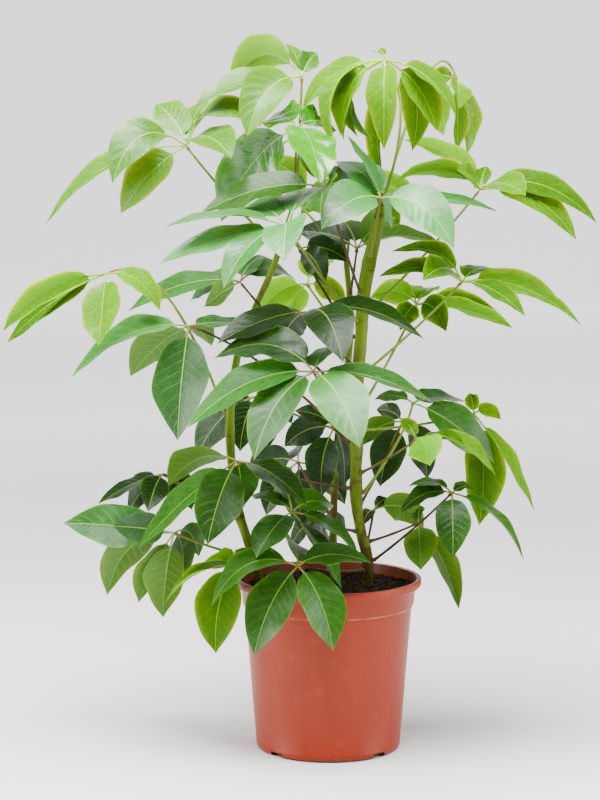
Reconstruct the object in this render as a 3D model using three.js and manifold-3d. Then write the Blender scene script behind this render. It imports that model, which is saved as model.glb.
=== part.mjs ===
// A potted umbrella plant: a plastic nursery pot filled with peat, three stems standing in the peat,
// and one solid for each compound leaf (leaf stalk, hub and its fan of leaflets).
// Millimetres. The pot stands on z = 0 with its axis on z, and -y is the side that faces the viewer.
import * as THREE from "three";
import { mergeVertices } from "three/addons/utils/BufferGeometryUtils.js";
import Module from "manifold-3d";

const wasm = await Module();
wasm.setup();

// Driving sizes of the pot.
const RIM_RADIUS = 125;
const POT_HEIGHT = 230;
const FOOT_RADIUS = 97;
const BAND_BOTTOM = 194;
const WALL = 2.4;
const SOIL_TOP = 217;
const DRAIN_COUNT = 4;
const DRAIN_TURN = 44;
const DRAIN_WIDTH = 20;
const DRAIN_HEIGHT = 6;
const POT_SIDES = 40;

// Driving sizes of the plant.
const BLADE_THICK = 0.8;
const STALKLET_RADIUS = 1.5;
const PETIOLE_TIP_RADIUS = 1.8;
const PETIOLE_ROOT_RADIUS = 2.6;
const KNOB_RADIUS = 3.3;
const GAP = 0.3;
const SOIL_GAP = 0.4;
const CLEAR = 1.7;
const FOLDS = { young: 0.32, fresh: 0.2, middle: 0.14, dark: 0.16 };
const WAVE = 2.2;
const BROADEST = 0.26;

// How the photograph was taken: it turns a place in the picture and a depth into a point in space.
const VIEW_ACROSS = -38;
const VIEW_BACK = 3000;
const VIEW_UP = 800;
const VIEW_PITCH = THREE.MathUtils.degToRad(6.3);
const VIEW_FOCAL = 2266;
const PICTURE_MIDDLE_ACROSS = 300;
const PICTURE_MIDDLE_DOWN = 400;
const UP = new THREE.Vector3(0, 0, 1);
const VIEW_PLACE = new THREE.Vector3(VIEW_ACROSS, -VIEW_BACK, VIEW_UP);

function spot(across, down, depth) {
  const right = (across - PICTURE_MIDDLE_ACROSS) / VIEW_FOCAL;
  const rise = (PICTURE_MIDDLE_DOWN - down) / VIEW_FOCAL;
  const forward = Math.cos(VIEW_PITCH) + rise * Math.sin(VIEW_PITCH);
  const upward = rise * Math.cos(VIEW_PITCH) - Math.sin(VIEW_PITCH);
  const run = (depth + VIEW_BACK) / forward;
  return new THREE.Vector3(VIEW_ACROSS + right * run, depth, VIEW_UP + upward * run);
}

// Colours read off the photograph.
const COLOURS = {
  pot: "#b9573f",
  soil: "#33261b",
  stem: "#728a1c",
  young: "#8fbe1e",
  fresh: "#6fa52c",
  middle: "#5c9a4c",
  dark: "#33660f",
};
const ROUGHNESS = { pot: 0.42, soil: 0.95, stem: 0.6, leaf: 0.38 };

function plain(colour, roughness) {
  return new THREE.MeshStandardMaterial({ color: colour, roughness, metalness: 0 });
}

// Closed solids from rings of points. Every ring has the same number of points; points may coincide.
function loft(rings, flipped = []) {
  const count = rings[0].length;
  const places = [];
  rings.forEach((ring) => ring.forEach((p) => places.push(p.x, p.y, p.z)));
  const faces = [];
  for (let i = 0; i + 1 < rings.length; i++) {
    for (let j = 0; j < count; j++) {
      const next = (j + 1) % count;
      const a = i * count + j;
      const b = i * count + next;
      const c = (i + 1) * count + next;
      const d = (i + 1) * count + j;
      if (flipped.includes(j)) faces.push(a, b, d, b, c, d);
      else faces.push(a, b, c, a, c, d);
    }
  }
  const last = (rings.length - 1) * count;
  for (let j = 1; j + 1 < count; j++) {
    faces.push(0, j + 1, j);
    faces.push(last, last + j, last + j + 1);
  }
  return shut(places, faces);
}

// Points in the same place become one, empty triangles go, and the faces are turned outwards.
function shut(places, faces) {
  let geometry = new THREE.BufferGeometry();
  geometry.setAttribute("position", new THREE.Float32BufferAttribute(places, 3));
  geometry.setIndex(faces);
  geometry = mergeVertices(geometry, 2e-3);
  const index = geometry.index.array;
  const kept = [];
  for (let i = 0; i < index.length; i += 3) {
    const [a, b, c] = [index[i], index[i + 1], index[i + 2]];
    if (a !== b && b !== c && c !== a) kept.push(a, b, c);
  }
  geometry.setIndex(kept);
  if (volume(geometry) < 0) {
    for (let i = 0; i < kept.length; i += 3) [kept[i + 1], kept[i + 2]] = [kept[i + 2], kept[i + 1]];
    geometry.setIndex(kept);
  }
  return geometry;
}

function volume(geometry) {
  const at = geometry.attributes.position;
  const index = geometry.index.array;
  const [a, b, c] = [new THREE.Vector3(), new THREE.Vector3(), new THREE.Vector3()];
  let sum = 0;
  for (let i = 0; i < index.length; i += 3) {
    a.fromBufferAttribute(at, index[i]);
    b.fromBufferAttribute(at, index[i + 1]);
    c.fromBufferAttribute(at, index[i + 2]);
    sum += a.dot(b.cross(c));
  }
  return sum;
}

function solid(geometry) {
  const bare = geometry.clone();
  bare.deleteAttribute("normal");
  bare.deleteAttribute("uv");
  const merged = mergeVertices(bare, 1e-3);
  const mesh = new wasm.Mesh({
    numProp: 3,
    vertProperties: new Float32Array(merged.attributes.position.array),
    triVerts: new Uint32Array(merged.index.array),
  });
  return new wasm.Manifold(mesh);
}

function geometryOf(made) {
  const mesh = made.getMesh();
  const places = [];
  for (let i = 0; i < mesh.numVert; i++) {
    for (let k = 0; k < 3; k++) places.push(mesh.vertProperties[i * mesh.numProp + k]);
  }
  const geometry = new THREE.BufferGeometry();
  geometry.setAttribute("position", new THREE.Float32BufferAttribute(places, 3));
  geometry.setIndex(Array.from(mesh.triVerts));
  geometry.computeVertexNormals();
  return geometry;
}

const plant = new THREE.Group();
plant.name = "potted_umbrella_plant";

function place(name, geometry, colour, roughness) {
  const mesh = new THREE.Mesh(geometry, plain(colour, roughness));
  mesh.name = name;
  plant.add(mesh);
}

// A round tube of few sides along a line of points, with a radius for each point.
function tube(points, radii, sides) {
  const rings = [];
  let side = null;
  points.forEach((p, i) => {
    const before = points[Math.max(0, i - 1)];
    const after = points[Math.min(points.length - 1, i + 1)];
    const along = after.clone().sub(before).normalize();
    if (!side) side = new THREE.Vector3(1, 0, 0);
    if (Math.abs(side.dot(along)) > 0.95) side = new THREE.Vector3(0, 1, 0);
    side = side.clone().addScaledVector(along, -side.dot(along)).normalize();
    const other = along.clone().cross(side);
    const ring = [];
    for (let k = 0; k < sides; k++) {
      const turn = (2 * Math.PI * (k + 0.5)) / sides;
      ring.push(
        p
          .clone()
          .addScaledVector(side, radii[i] * Math.cos(turn))
          .addScaledVector(other, radii[i] * Math.sin(turn)),
      );
    }
    rings.push(ring);
  });
  return loft(rings);
}

// The stems: the middle line as places in the photograph with a depth, and the radius there.
const point = (across, down, depth, radius) => ({ across, down, depth, radius });
const STEM_SIDES = 8;
const STEM_DEPTH_IN_SOIL = 70;
const STEMS = {
  main: [
    point(368, 592, 22, 6.6),
    point(367, 557, 18, 7.6),
    point(361, 533, 16, 7.0),
    point(357, 508, 14, 7.4),
    point(356, 490, 12, 8.8),
    point(356, 470, 10, 7.8),
    point(356, 445, 6, 8.8),
    point(357, 400, 2, 7.4),
    point(358, 370, 0, 8.4),
    point(361, 335, -2, 8.2),
    point(363, 300, 0, 8.8),
    point(369, 262, 4, 9.2),
    point(378, 225, 6, 7.6),
    point(383, 200, 6, 5.4),
  ],
  left: [
    point(262, 590, 10, 6.4),
    point(252, 555, 6, 6.6),
    point(244, 530, 2, 6.2),
    point(237, 508, -4, 7.2),
    point(232, 470, -10, 5.6),
    point(230, 440, -14, 6.2),
    point(231, 405, -16, 5.4),
    point(240, 345, -14, 4.8),
    point(256, 306, -10, 4.2),
    point(272, 270, -8, 4.4),
    point(287, 225, -6, 3.4),
    point(297, 194, -4, 2.8),
  ],
  back: [
    point(334, 588, 66, 5.4),
    point(333, 545, 62, 5.6),
    point(334, 500, 60, 5.0),
    point(336, 455, 60, 5.4),
    point(343, 400, 62, 4.6),
    point(349, 350, 64, 4.8),
    point(350, 305, 66, 4.2),
    point(347, 270, 70, 3.8),
    point(343, 240, 76, 2.8),
  ],
};

function stemLine(stem) {
  const seen = stem.map((s) => spot(s.across, s.down, s.depth));
  const radii = stem.map((s) => s.radius);
  const foot = seen[0].clone();
  const lean = seen[1].clone().sub(seen[0]).normalize();
  foot.addScaledVector(lean, -(foot.z - SOIL_TOP + STEM_DEPTH_IN_SOIL) / lean.z);
  return { points: [foot, ...seen], radii: [radii[0], ...radii] };
}

const stemLines = {};
const stemSolids = {};
for (const [name, stem] of Object.entries(STEMS)) {
  stemLines[name] = stemLine(stem);
  stemSolids[name] = tube(stemLines[name].points, stemLines[name].radii, STEM_SIDES);
}

// The point on a stem's middle line that lies in a given row of the photograph.
function onStem(name, row) {
  const stem = STEMS[name];
  for (let i = 0; i + 1 < stem.length; i++) {
    const [low, high] = [stem[i], stem[i + 1]];
    if (row <= low.down && row >= high.down) {
      const share = (low.down - row) / (low.down - high.down);
      const mix = (a, b) => a + (b - a) * share;
      return spot(mix(low.across, high.across), row, mix(low.depth, high.depth));
    }
  }
  throw new Error("no such row on stem " + name);
}

// The leaves, read off the photograph. A leaflet has its tip's place in the picture, the width that
// shows there (pixels), its lean to the viewer (1) or away (-1), and the height of its arch.
const TOP = 1;
const UNDER = -1;
const leaflet = (across, down, seen, lean, arch = 0.16, face = TOP) => ({
  across,
  down,
  seen,
  lean,
  arch,
  face,
});
const hub = (across, down, depth) => ({ across, down, depth });

const LEAVES = [
  {
    name: "leaf_centre_front",
    from: ["main", 445],
    hub: hub(314, 372, -170),
    reach: 178,
    wide: 68,
    tone: "middle",
    stalks: 0.1,
    leaflets: [
      leaflet(187.5, 428, 32, 0.1, 0.12),
      leaflet(254, 461, 42, 0.5, 0.14),
      leaflet(360, 449, 52, 0.7, 0.12),
      leaflet(434, 403, 16, 0.1, 0.08),
      leaflet(213, 359, 34, -0.5, 0.19),
      leaflet(332, 346, 21, -0.5, 0.1),
    ],
  },
  {
    name: "leaf_high_left",
    from: ["main", 326],
    hub: hub(287, 227, -150),
    reach: 172,
    wide: 60,
    tone: "middle",
    stalks: 0.17,
    leaflets: [
      leaflet(163, 228, 9, 0, 0.1),
      leaflet(158.5, 264, 21, 0.1, 0.05),
      leaflet(223, 289.5, 25, 0.5, 0.14),
      leaflet(284, 261, 42, 0.7, 0.16),
      leaflet(325, 188, 24, -0.6, 0.12),
      leaflet(232, 214, 24, -0.8, 0.12),
    ],
  },
  {
    name: "leaf_mid_front",
    from: ["main", 370],
    hub: hub(308, 312, -90),
    reach: 158,
    wide: 64,
    tone: "dark",
    leaflets: [
      leaflet(217, 344, 26, 0.2, 0.07),
      leaflet(343, 363, 46, 0.8, 0.2),
      leaflet(425, 340, 18, 0, 0.13),
      leaflet(282, 340, 36, -0.5, 0.1),
    ],
  },
  {
    name: "leaf_rim_front",
    from: ["main", 570],
    hub: hub(298, 566, -125),
    reach: 138,
    wide: 62,
    tone: "dark",
    stalks: 0.1,
    leaflets: [
      leaflet(254, 656, 46, 0.5, 0.08),
      leaflet(333, 651, 44, 0.5, 0.1),
      leaflet(211.5, 606, 26, 0.3, 0.24),
      leaflet(371, 563, 22, 0.1, 0.14),
      leaflet(293, 542, 22, -0.7, 0.12),
    ],
  },
  {
    name: "leaf_left_hanging",
    from: ["main", 449],
    hub: hub(189, 326, -60),
    via: hub(268, 352, -60),
    reach: 162,
    wide: 76,
    tone: "dark",
    stalks: 0.1,
    leaflets: [
      leaflet(177.5, 441, 54, 0.4, 0.03),
      leaflet(70, 379, 20, 0, 0.13),
      leaflet(130, 377, 34, -0.3, 0.14, UNDER),
      leaflet(256, 326, 12, -0.2, 0.05),
      leaflet(212, 346, 18, -0.6, 0.1, UNDER),
    ],
  },
  {
    name: "leaf_low_left_front",
    from: ["main", 489],
    hub: hub(237, 461, -80),
    reach: 156,
    wide: 68,
    tone: "dark",
    leaflets: [
      leaflet(207.5, 545, 52, 0.6, 0.08),
      leaflet(137.5, 549, 25, 0.3, 0.04),
      leaflet(306, 506, 24, 0.5, 0.1),
      leaflet(168, 487, 26, -0.5, 0.18, UNDER),
      leaflet(243, 508, 38, -0.6, 0.1),
    ],
  },
  {
    name: "leaf_high_front",
    from: ["main", 264],
    hub: hub(381, 198, -60),
    reach: 152,
    wide: 64,
    tone: "middle",
    stalks: 0.08,
    leaflets: [
      leaflet(321, 230, 40, 0.6, 0.14),
      leaflet(454, 249, 40, 0.4, 0.18),
      leaflet(499.5, 212, 14, 0, 0.05),
      leaflet(336, 161, 26, -0.6, 0.1),
      leaflet(347, 135, 11, -0.4, 0.04),
      leaflet(392, 229, 10, -0.3, 0.1),
    ],
  },
  {
    name: "leaf_high_centre",
    from: ["main", 300],
    hub: hub(326, 187, -100),
    reach: 172,
    wide: 58,
    tone: "dark",
    leaflets: [
      leaflet(200, 214, 26, 0, 0.09),
      leaflet(368, 186, 30, -0.7, 0.1),
      leaflet(320, 214, 22, 0.6, 0.1),
      leaflet(300, 150, 26, -0.8, 0.1),
    ],
  },
  {
    name: "leaf_top_glossy",
    from: ["left", 204],
    hub: hub(297, 127, -60),
    reach: 156,
    wide: 76,
    tone: "middle",
    leaflets: [
      leaflet(221, 222, 58, 0.3, 0.1),
      leaflet(321, 185, 42, 0.8, 0.14),
      leaflet(262, 124, 26, -0.7, 0.1),
      leaflet(337, 131, 22, -0.7, 0.12),
    ],
  },
  {
    name: "leaf_low_middle",
    from: ["main", 532],
    hub: hub(292, 512, -60),
    reach: 136,
    wide: 56,
    tone: "dark",
    leaflets: [
      leaflet(256, 558, 32, 0.7, 0.08),
      leaflet(359, 555, 15, 0, 0.1),
      leaflet(342, 590, 15, 0.9, 0.05),
      leaflet(251, 495, 18, -0.5, 0.1),
      leaflet(275, 486, 26, -0.9, 0.1),
      leaflet(334, 506, 26, -0.7, 0.12),
    ],
  },
  {
    name: "leaf_rim_left",
    from: ["left", 570],
    hub: hub(236, 565, -60),
    reach: 126,
    wide: 62,
    tone: "fresh",
    stalks: 0.1,
    leaflets: [
      leaflet(216, 654, 46, 0.3, 0.09),
      leaflet(164, 604, 7, 0.1, 0.14),
      leaflet(204, 562, 24, -0.5, 0.06),
      leaflet(262, 552, 18, -0.5, 0.1),
    ],
  },
  {
    name: "leaf_far_left",
    from: ["left", 430],
    hub: hub(106, 274, -40),
    via: hub(166, 240, -28),
    reach: 152,
    wide: 58,
    tone: "fresh",
    leaflets: [
      leaflet(2, 332, 24, -0.1, 0.1, UNDER),
      leaflet(6, 344, 26, 0.3, 0.11),
      leaflet(99, 346, 38, 0.7, 0.03),
      leaflet(160, 311, 22, 0.2, 0.19),
    ],
  },
  {
    name: "leaf_top_left",
    from: ["left", 250],
    hub: hub(186, 146, 20),
    reach: 168,
    wide: 62,
    tone: "fresh",
    stalks: 0.18,
    leaflets: [
      leaflet(44, 227, 16, 0, 0.13),
      leaflet(120.5, 214, 36, 0.2, 0.07),
      leaflet(112, 184, 36, 0.5, 0.32),
      leaflet(156, 104, 36, -0.4, 0.1),
      leaflet(207, 98, 20, -0.4, 0.1),
      leaflet(262, 127, 16, 0.2, 0.3),
      leaflet(232, 159, 26, 0.8, 0.14),
    ],
  },
  {
    name: "leaf_top_middle",
    from: ["left", 194],
    hub: hub(302, 77, -4),
    reach: 150,
    wide: 60,
    tone: "young",
    leaflets: [
      leaflet(247, 138, 42, 0.6, 0.2),
      leaflet(229, 89, 36, -0.4, 0.34, UNDER),
      leaflet(191, 112, 18, 0.1, 0.1),
      leaflet(287, 43, 16, -0.3, 0.08),
      leaflet(317, 53, 26, -0.4, 0.1),
    ],
  },
  {
    name: "leaf_crown",
    from: ["main", 204],
    hub: hub(385, 60, -20),
    via: hub(419, 100, -200),
    reach: 136,
    wide: 44,
    tone: "young",
    stalks: 0.22,
    leaflets: [
      leaflet(384, 150.5, 31, 0.8, 0.34),
      leaflet(302, 113, 18, 0.1, 0.15),
      leaflet(341, 137, 20, 0.5, 0.2),
      leaflet(336, 156, 13, -0.4, 0.32),
      leaflet(373, 141, 14, 0.3, 0.38),
      leaflet(456, 117, 15, 0.2, 0.14),
      leaflet(437, 132, 29, 0.5, 0.12),
      leaflet(412, 152, 34, -0.6, 0.26),
      leaflet(344, 141, 20, -0.6, 0.24),
      leaflet(383, 186, 15, -0.3, 0.3),
      leaflet(358, 138, 20, -0.2, 0.3),
      leaflet(372, 52, 7, -0.1, 0.3),
    ],
  },
  {
    name: "leaf_crown_right",
    from: ["main", 214],
    hub: hub(457, 81, 100),
    via: hub(437, 4, 60),
    reach: 112,
    wide: 38,
    tone: "young",
    stalks: 0.22,
    leaflets: [
      leaflet(459, 109, 18, 0.6, 0.14),
      leaflet(431, 78, 20, -0.3, 0.12),
      leaflet(457, 152, 16, 0.4, 0.2),
      leaflet(466, 156, 17, -0.5, 0.2),
      leaflet(444, 136, 26, -0.2, 0.26),
    ],
  },
  {
    name: "leaf_high_right",
    from: ["main", 319],
    hub: hub(480, 190, 20),
    reach: 166,
    wide: 50,
    tone: "fresh",
    leaflets: [
      leaflet(598, 225, 24, 0, 0.18),
      leaflet(577, 241, 26, 0.3, 0.16),
      leaflet(526, 196, 20, 0.6, 0.12),
      leaflet(403, 140, 20, -0.3, 0.14),
      leaflet(394, 182, 19, -0.1, 0.37, UNDER),
      leaflet(457, 170, 14, 0.3, 0.1),
      leaflet(487, 166, 18, -0.2, 0.1),
    ],
  },
  {
    name: "leaf_mid_left",
    from: ["main", 405],
    hub: hub(240, 282, -20),
    reach: 158,
    wide: 52,
    tone: "middle",
    leaflets: [
      leaflet(127, 312, 21, 0, 0.1),
      leaflet(297, 281, 22, -0.5, 0.14),
      leaflet(204, 307, 20, 0.2, 0.04, UNDER),
      leaflet(190, 302, 20, -0.4, 0.14),
      leaflet(262, 256, 20, -0.8, 0.1),
    ],
  },
  {
    name: "leaf_mid_right",
    from: ["main", 378],
    hub: hub(462, 282, -20),
    reach: 164,
    wide: 44,
    tone: "fresh",
    leaflets: [
      leaflet(422.5, 281, 21, 0.6, 0.16),
      leaflet(390, 252, 16, -0.1, 0.22),
      leaflet(525.5, 317, 16, 0.5, 0.1),
      leaflet(582, 326, 16, 0, 0.12),
      leaflet(562, 303, 26, -0.3, 0.09),
      leaflet(378, 277, 18, -0.5, 0.14),
      leaflet(490, 268, 16, -0.3, 0.1),
    ],
  },
  {
    name: "leaf_low_right",
    from: ["main", 565],
    hub: hub(452, 493, -30),
    reach: 116,
    wide: 56,
    tone: "dark",
    stalks: 0.12,
    leaflets: [
      leaflet(453, 558, 38, 0.6, 0.1),
      leaflet(400, 513, 18, 0.1, 0.16),
      leaflet(407.5, 487, 9, -0.1, 0.18),
      leaflet(524, 561, 10, 0.1, 0.13),
      leaflet(474, 486, 10, -0.2, 0.1),
    ],
  },
  {
    name: "leaf_right_red_hub",
    from: ["main", 475],
    hub: hub(416, 440, -50),
    reach: 132,
    wide: 54,
    tone: "fresh",
    leaflets: [
      leaflet(496, 476, 14, 0.1, 0.18),
      leaflet(430, 466, 42, 0.75, 0.14, UNDER),
      leaflet(401, 418, 15, -0.2, 0.1),
      leaflet(466, 446, 9, 0.2, 0.14),
    ],
  },
  {
    name: "leaf_right_yellow_stalk",
    from: ["main", 502],
    hub: hub(413, 403, 24),
    via: hub(406, 438, 10),
    reach: 134,
    wide: 60,
    tone: "dark",
    leaflets: [
      leaflet(495, 464, 36, 0.2, 0.07),
      leaflet(374, 400, 12, -0.1, 0.14),
      leaflet(447, 398, 16, -0.5, 0.06),
      leaflet(465, 401, 14, -0.5, 0.06),
    ],
  },
  {
    name: "leaf_low_left_far",
    from: ["left", 558],
    hub: hub(174, 533, 0),
    reach: 122,
    wide: 60,
    tone: "middle",
    stalks: 0.18,
    leaflets: [
      leaflet(63, 523, 44, 0.5, 0.02),
      leaflet(107, 596, 36, 0.2, 0.2, UNDER),
      leaflet(138.5, 603, 26, -0.3, 0.04, UNDER),
      leaflet(163, 618, 40, -0.1, 0.03, UNDER),
      leaflet(184, 580, 30, -0.5, 0.2),
      leaflet(112, 526, 40, 0.3, 0.02),
      leaflet(199, 557, 32, -0.6, 0.24),
    ],
  },
  {
    name: "leaf_low_left_back",
    from: ["left", 515],
    hub: hub(163, 474, 20),
    reach: 116,
    wide: 46,
    tone: "dark",
    leaflets: [
      leaflet(97, 505, 13, 0, 0.05),
      leaflet(148, 512, 30, 0.6, 0.1),
      leaflet(127, 516, 26, -0.4, 0.08),
      leaflet(192, 510, 30, -0.4, 0.14),
    ],
  },
  {
    name: "leaf_low_right_inner",
    from: ["main", 543],
    hub: hub(418, 523, 40),
    reach: 122,
    wide: 48,
    tone: "dark",
    leaflets: [
      leaflet(421, 570.5, 34, 0.7, 0.1, UNDER),
      leaflet(459, 610, 22, -0.1, 0.07, UNDER),
      leaflet(420, 506, 12, -0.3, 0.06),
    ],
  },
  {
    name: "leaf_mid_right_back",
    from: ["main", 416],
    hub: hub(417, 305, 80),
    reach: 128,
    wide: 48,
    tone: "fresh",
    leaflets: [
      leaflet(446.5, 332, 34, 0.5, 0.2),
      leaflet(497, 311, 15, -0.1, 0.1, UNDER),
      leaflet(514, 329, 16, 0.1, 0.08, UNDER),
      leaflet(400, 331, 34, 0.4, 0.14),
      leaflet(370, 298, 30, -0.3, 0.2, UNDER),
      leaflet(401, 284, 20, -0.5, 0.12),
      leaflet(436, 288, 16, -0.5, 0.12),
    ],
  },
  {
    name: "leaf_right_hanging",
    from: ["main", 430],
    hub: hub(474, 414, 60),
    reach: 150,
    wide: 60,
    tone: "fresh",
    leaflets: [
      leaflet(479, 526, 42, 0.3, 0.06),
      leaflet(535, 512, 11, 0, 0.03),
      leaflet(501, 420, 18, 0.1, 0.26),
      leaflet(470, 393, 18, -0.2, 0.1),
    ],
  },
  {
    name: "leaf_mid_dark",
    from: ["main", 452],
    hub: hub(334, 428, 24),
    reach: 104,
    wide: 48,
    tone: "dark",
    leaflets: [
      leaflet(322, 498, 34, 0.3, 0.1),
      leaflet(294, 411, 18, 0, 0.12),
      leaflet(344, 486, 26, -0.2, 0.1),
      leaflet(284, 447, 30, -0.3, 0.14),
    ],
  },
  {
    name: "leaf_high_dark",
    from: ["back", 300],
    hub: hub(357, 249, 40),
    reach: 134,
    wide: 56,
    tone: "dark",
    leaflets: [
      leaflet(441, 244, 14, 0, 0.14, UNDER),
      leaflet(296, 232, 28, -0.2, 0.1),
      leaflet(396, 218, 30, -0.5, 0.1, UNDER),
      leaflet(338, 218, 30, -0.8, 0.1),
    ],
  },
  {
    name: "leaf_high_brown_stalk",
    from: ["main", 346],
    hub: hub(299, 249, 20),
    reach: 100,
    wide: 44,
    tone: "dark",
    leaflets: [
      leaflet(325, 284, 28, 0.5, 0.14),
      leaflet(349, 262, 24, 0, 0.14),
      leaflet(268, 240, 20, -0.8, 0.12),
    ],
  },
  {
    name: "leaf_high_bright_back",
    from: ["back", 340],
    hub: hub(307, 284, 100),
    reach: 118,
    wide: 60,
    tone: "young",
    leaflets: [
      leaflet(258, 318, 38, 0.1, 0.16, UNDER),
      leaflet(288, 324, 50, -0.4, 0.14, UNDER),
      leaflet(346, 304, 38, 0.1, 0.14),
      leaflet(326, 262, 28, -0.8, 0.1),
    ],
  },
  {
    name: "leaf_right_inner_back",
    from: ["main", 510],
    hub: hub(403, 422, 96),
    reach: 106,
    wide: 56,
    tone: "dark",
    leaflets: [
      leaflet(380, 487, 40, 0.2, 0.06),
      leaflet(362, 446, 22, -0.2, 0.16, UNDER),
      leaflet(427, 480, 30, -0.2, 0.12),
      leaflet(376, 410, 20, -0.2, 0.14),
    ],
  },
  {
    name: "leaf_low_right_back",
    from: ["main", 551],
    hub: hub(374, 510, 60),
    reach: 90,
    wide: 44,
    tone: "dark",
    leaflets: [
      leaflet(424, 529, 30, 0.2, 0.22, UNDER),
      leaflet(363, 526, 14, 0.2, 0.2),
      leaflet(388, 498, 14, -0.3, 0.1),
    ],
  },
  {
    name: "leaf_back_low_left",
    from: ["back", 520],
    hub: hub(298, 462, 170),
    reach: 122,
    wide: 54,
    tone: "dark",
    leaflets: [
      leaflet(266, 516, 30, 0.2, 0.1),
      leaflet(300, 530, 34, -0.5, 0.1),
      leaflet(345, 505, 30, 0.1, 0.14),
      leaflet(247, 474, 32, -0.4, 0.14),
      leaflet(300, 446, 20, -0.9, 0.12),
    ],
  },
  {
    name: "leaf_back_middle",
    from: ["back", 430],
    hub: hub(258, 396, 180),
    reach: 128,
    wide: 58,
    tone: "dark",
    leaflets: [
      leaflet(214, 430, 30, -0.3, 0.1),
      leaflet(196, 460, 34, -0.1, 0.12),
      leaflet(266, 452, 34, -0.5, 0.14),
      leaflet(240, 452, 36, -0.3, 0.12),
      leaflet(292, 424, 30, -0.3, 0.14),
      leaflet(240, 374, 20, -0.9, 0.12),
      leaflet(280, 376, 20, -0.9, 0.12),
    ],
  },
  {
    name: "leaf_back_high",
    from: ["back", 268],
    hub: hub(352, 190, 160),
    reach: 134,
    wide: 56,
    tone: "fresh",
    leaflets: [
      leaflet(300, 216, 26, -0.3, 0.14),
      leaflet(336, 236, 32, -0.6, 0.16),
      leaflet(398, 232, 32, -0.3, 0.16),
      leaflet(424, 208, 24, -0.2, 0.16),
      leaflet(376, 176, 20, -0.9, 0.12),
      leaflet(332, 176, 20, -0.9, 0.12),
    ],
  },
  {
    name: "leaf_back_high_left",
    from: ["back", 252],
    hub: hub(268, 166, 120),
    reach: 128,
    wide: 54,
    tone: "fresh",
    leaflets: [
      leaflet(236, 196, 30, -0.4, 0.16),
      leaflet(270, 216, 30, -0.5, 0.16),
      leaflet(306, 192, 28, -0.4, 0.16),
      leaflet(280, 150, 20, -0.9, 0.12),
      leaflet(248, 152, 20, -0.9, 0.12),
    ],
  },
  {
    name: "leaf_back_low",
    from: ["back", 566],
    hub: hub(322, 520, 190),
    reach: 112,
    wide: 48,
    tone: "dark",
    leaflets: [
      leaflet(290, 548, 22, -0.5, 0.12),
      leaflet(320, 560, 24, -0.6, 0.12),
      leaflet(349, 540, 18, -0.5, 0.12),
      leaflet(316, 506, 18, -0.9, 0.12),
    ],
  },
];

// One leaflet: its own stalk, then the blade, along one arched line from the hub to the tip.
const STALK_SHARE = 0.15;
const STATIONS = [
  { along: 0.14, width: 0.66 },
  { along: 0.45, width: 1.0 },
  { along: 0.78, width: 0.6 },
];

function leafletShape(at, tip, half, leaf, spec, phase) {
  const chord = tip.clone().sub(at);
  const length = chord.length();
  const along = chord.clone().divideScalar(length);
  let rise = UP.clone().addScaledVector(along, -along.z);
  if (rise.length() < 0.05) rise = new THREE.Vector3(0, -1, 0);
  rise.normalize();
  const bend = at
    .clone()
    .addScaledVector(chord, 0.42)
    .addScaledVector(rise, spec.arch * 2 * length);
  const sight = VIEW_PLACE.clone()
    .sub(at.clone().add(tip).multiplyScalar(0.5))
    .normalize();
  const across = sight.clone().cross(along).normalize();
  const toward = along.clone().cross(across).normalize();
  const share = half.share;
  const rest = Math.sqrt(Math.max(0, 1 - share * share));
  // Of the two turns that show this width and this face, the one whose top looks further up.
  const choices = [1, -1].map((turn) => {
    const side = across
      .clone()
      .multiplyScalar(share)
      .addScaledVector(toward, turn * rest);
    const normal = side.clone().cross(along).normalize();
    const wanted = spec.face;
    if (normal.dot(toward) * wanted < 0) {
      side.negate();
      normal.negate();
    }
    return { side, normal };
  });
  const best = choices[0].normal.z >= choices[1].normal.z ? choices[0] : choices[1];
  const place = (t) => {
    const back = 1 - t;
    return at
      .clone()
      .multiplyScalar(back * back)
      .addScaledVector(bend, 2 * back * t)
      .addScaledVector(tip, t * t);
  };
  const slope = (t) =>
    bend
      .clone()
      .sub(at)
      .multiplyScalar(1 - t)
      .addScaledVector(tip.clone().sub(bend), t)
      .normalize();
  const frame = (t) => {
    const along2 = slope(t);
    const side = best.side.clone().addScaledVector(along2, -best.side.dot(along2)).normalize();
    return { place: place(t), side, normal: side.clone().cross(along2).normalize() };
  };
  const width = half.width;
  const fold = FOLDS[leaf.tone];
  const stalks = leaf.stalks ?? STALK_SHARE;
  const rows = STATIONS.map((station, i) => {
    const t = stalks + (1 - stalks) * station.along;
    const f = frame(t);
    const w = width * station.width;
    const waveLeft = WAVE * Math.sin(phase + 2.1 * i) * station.width;
    const waveRight = WAVE * Math.sin(phase + 1.3 + 2.1 * i) * station.width;
    const left = f.place
      .clone()
      .addScaledVector(f.side, -w)
      .addScaledVector(f.normal, fold * w + waveLeft);
    const right = f.place
      .clone()
      .addScaledVector(f.side, w)
      .addScaledVector(f.normal, fold * w + waveRight);
    return { left, middle: f.place, right, normal: f.normal };
  });
  return { frame, rows, root: place(0), stalkEnd: frame(stalks), tip: place(1) };
}

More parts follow.
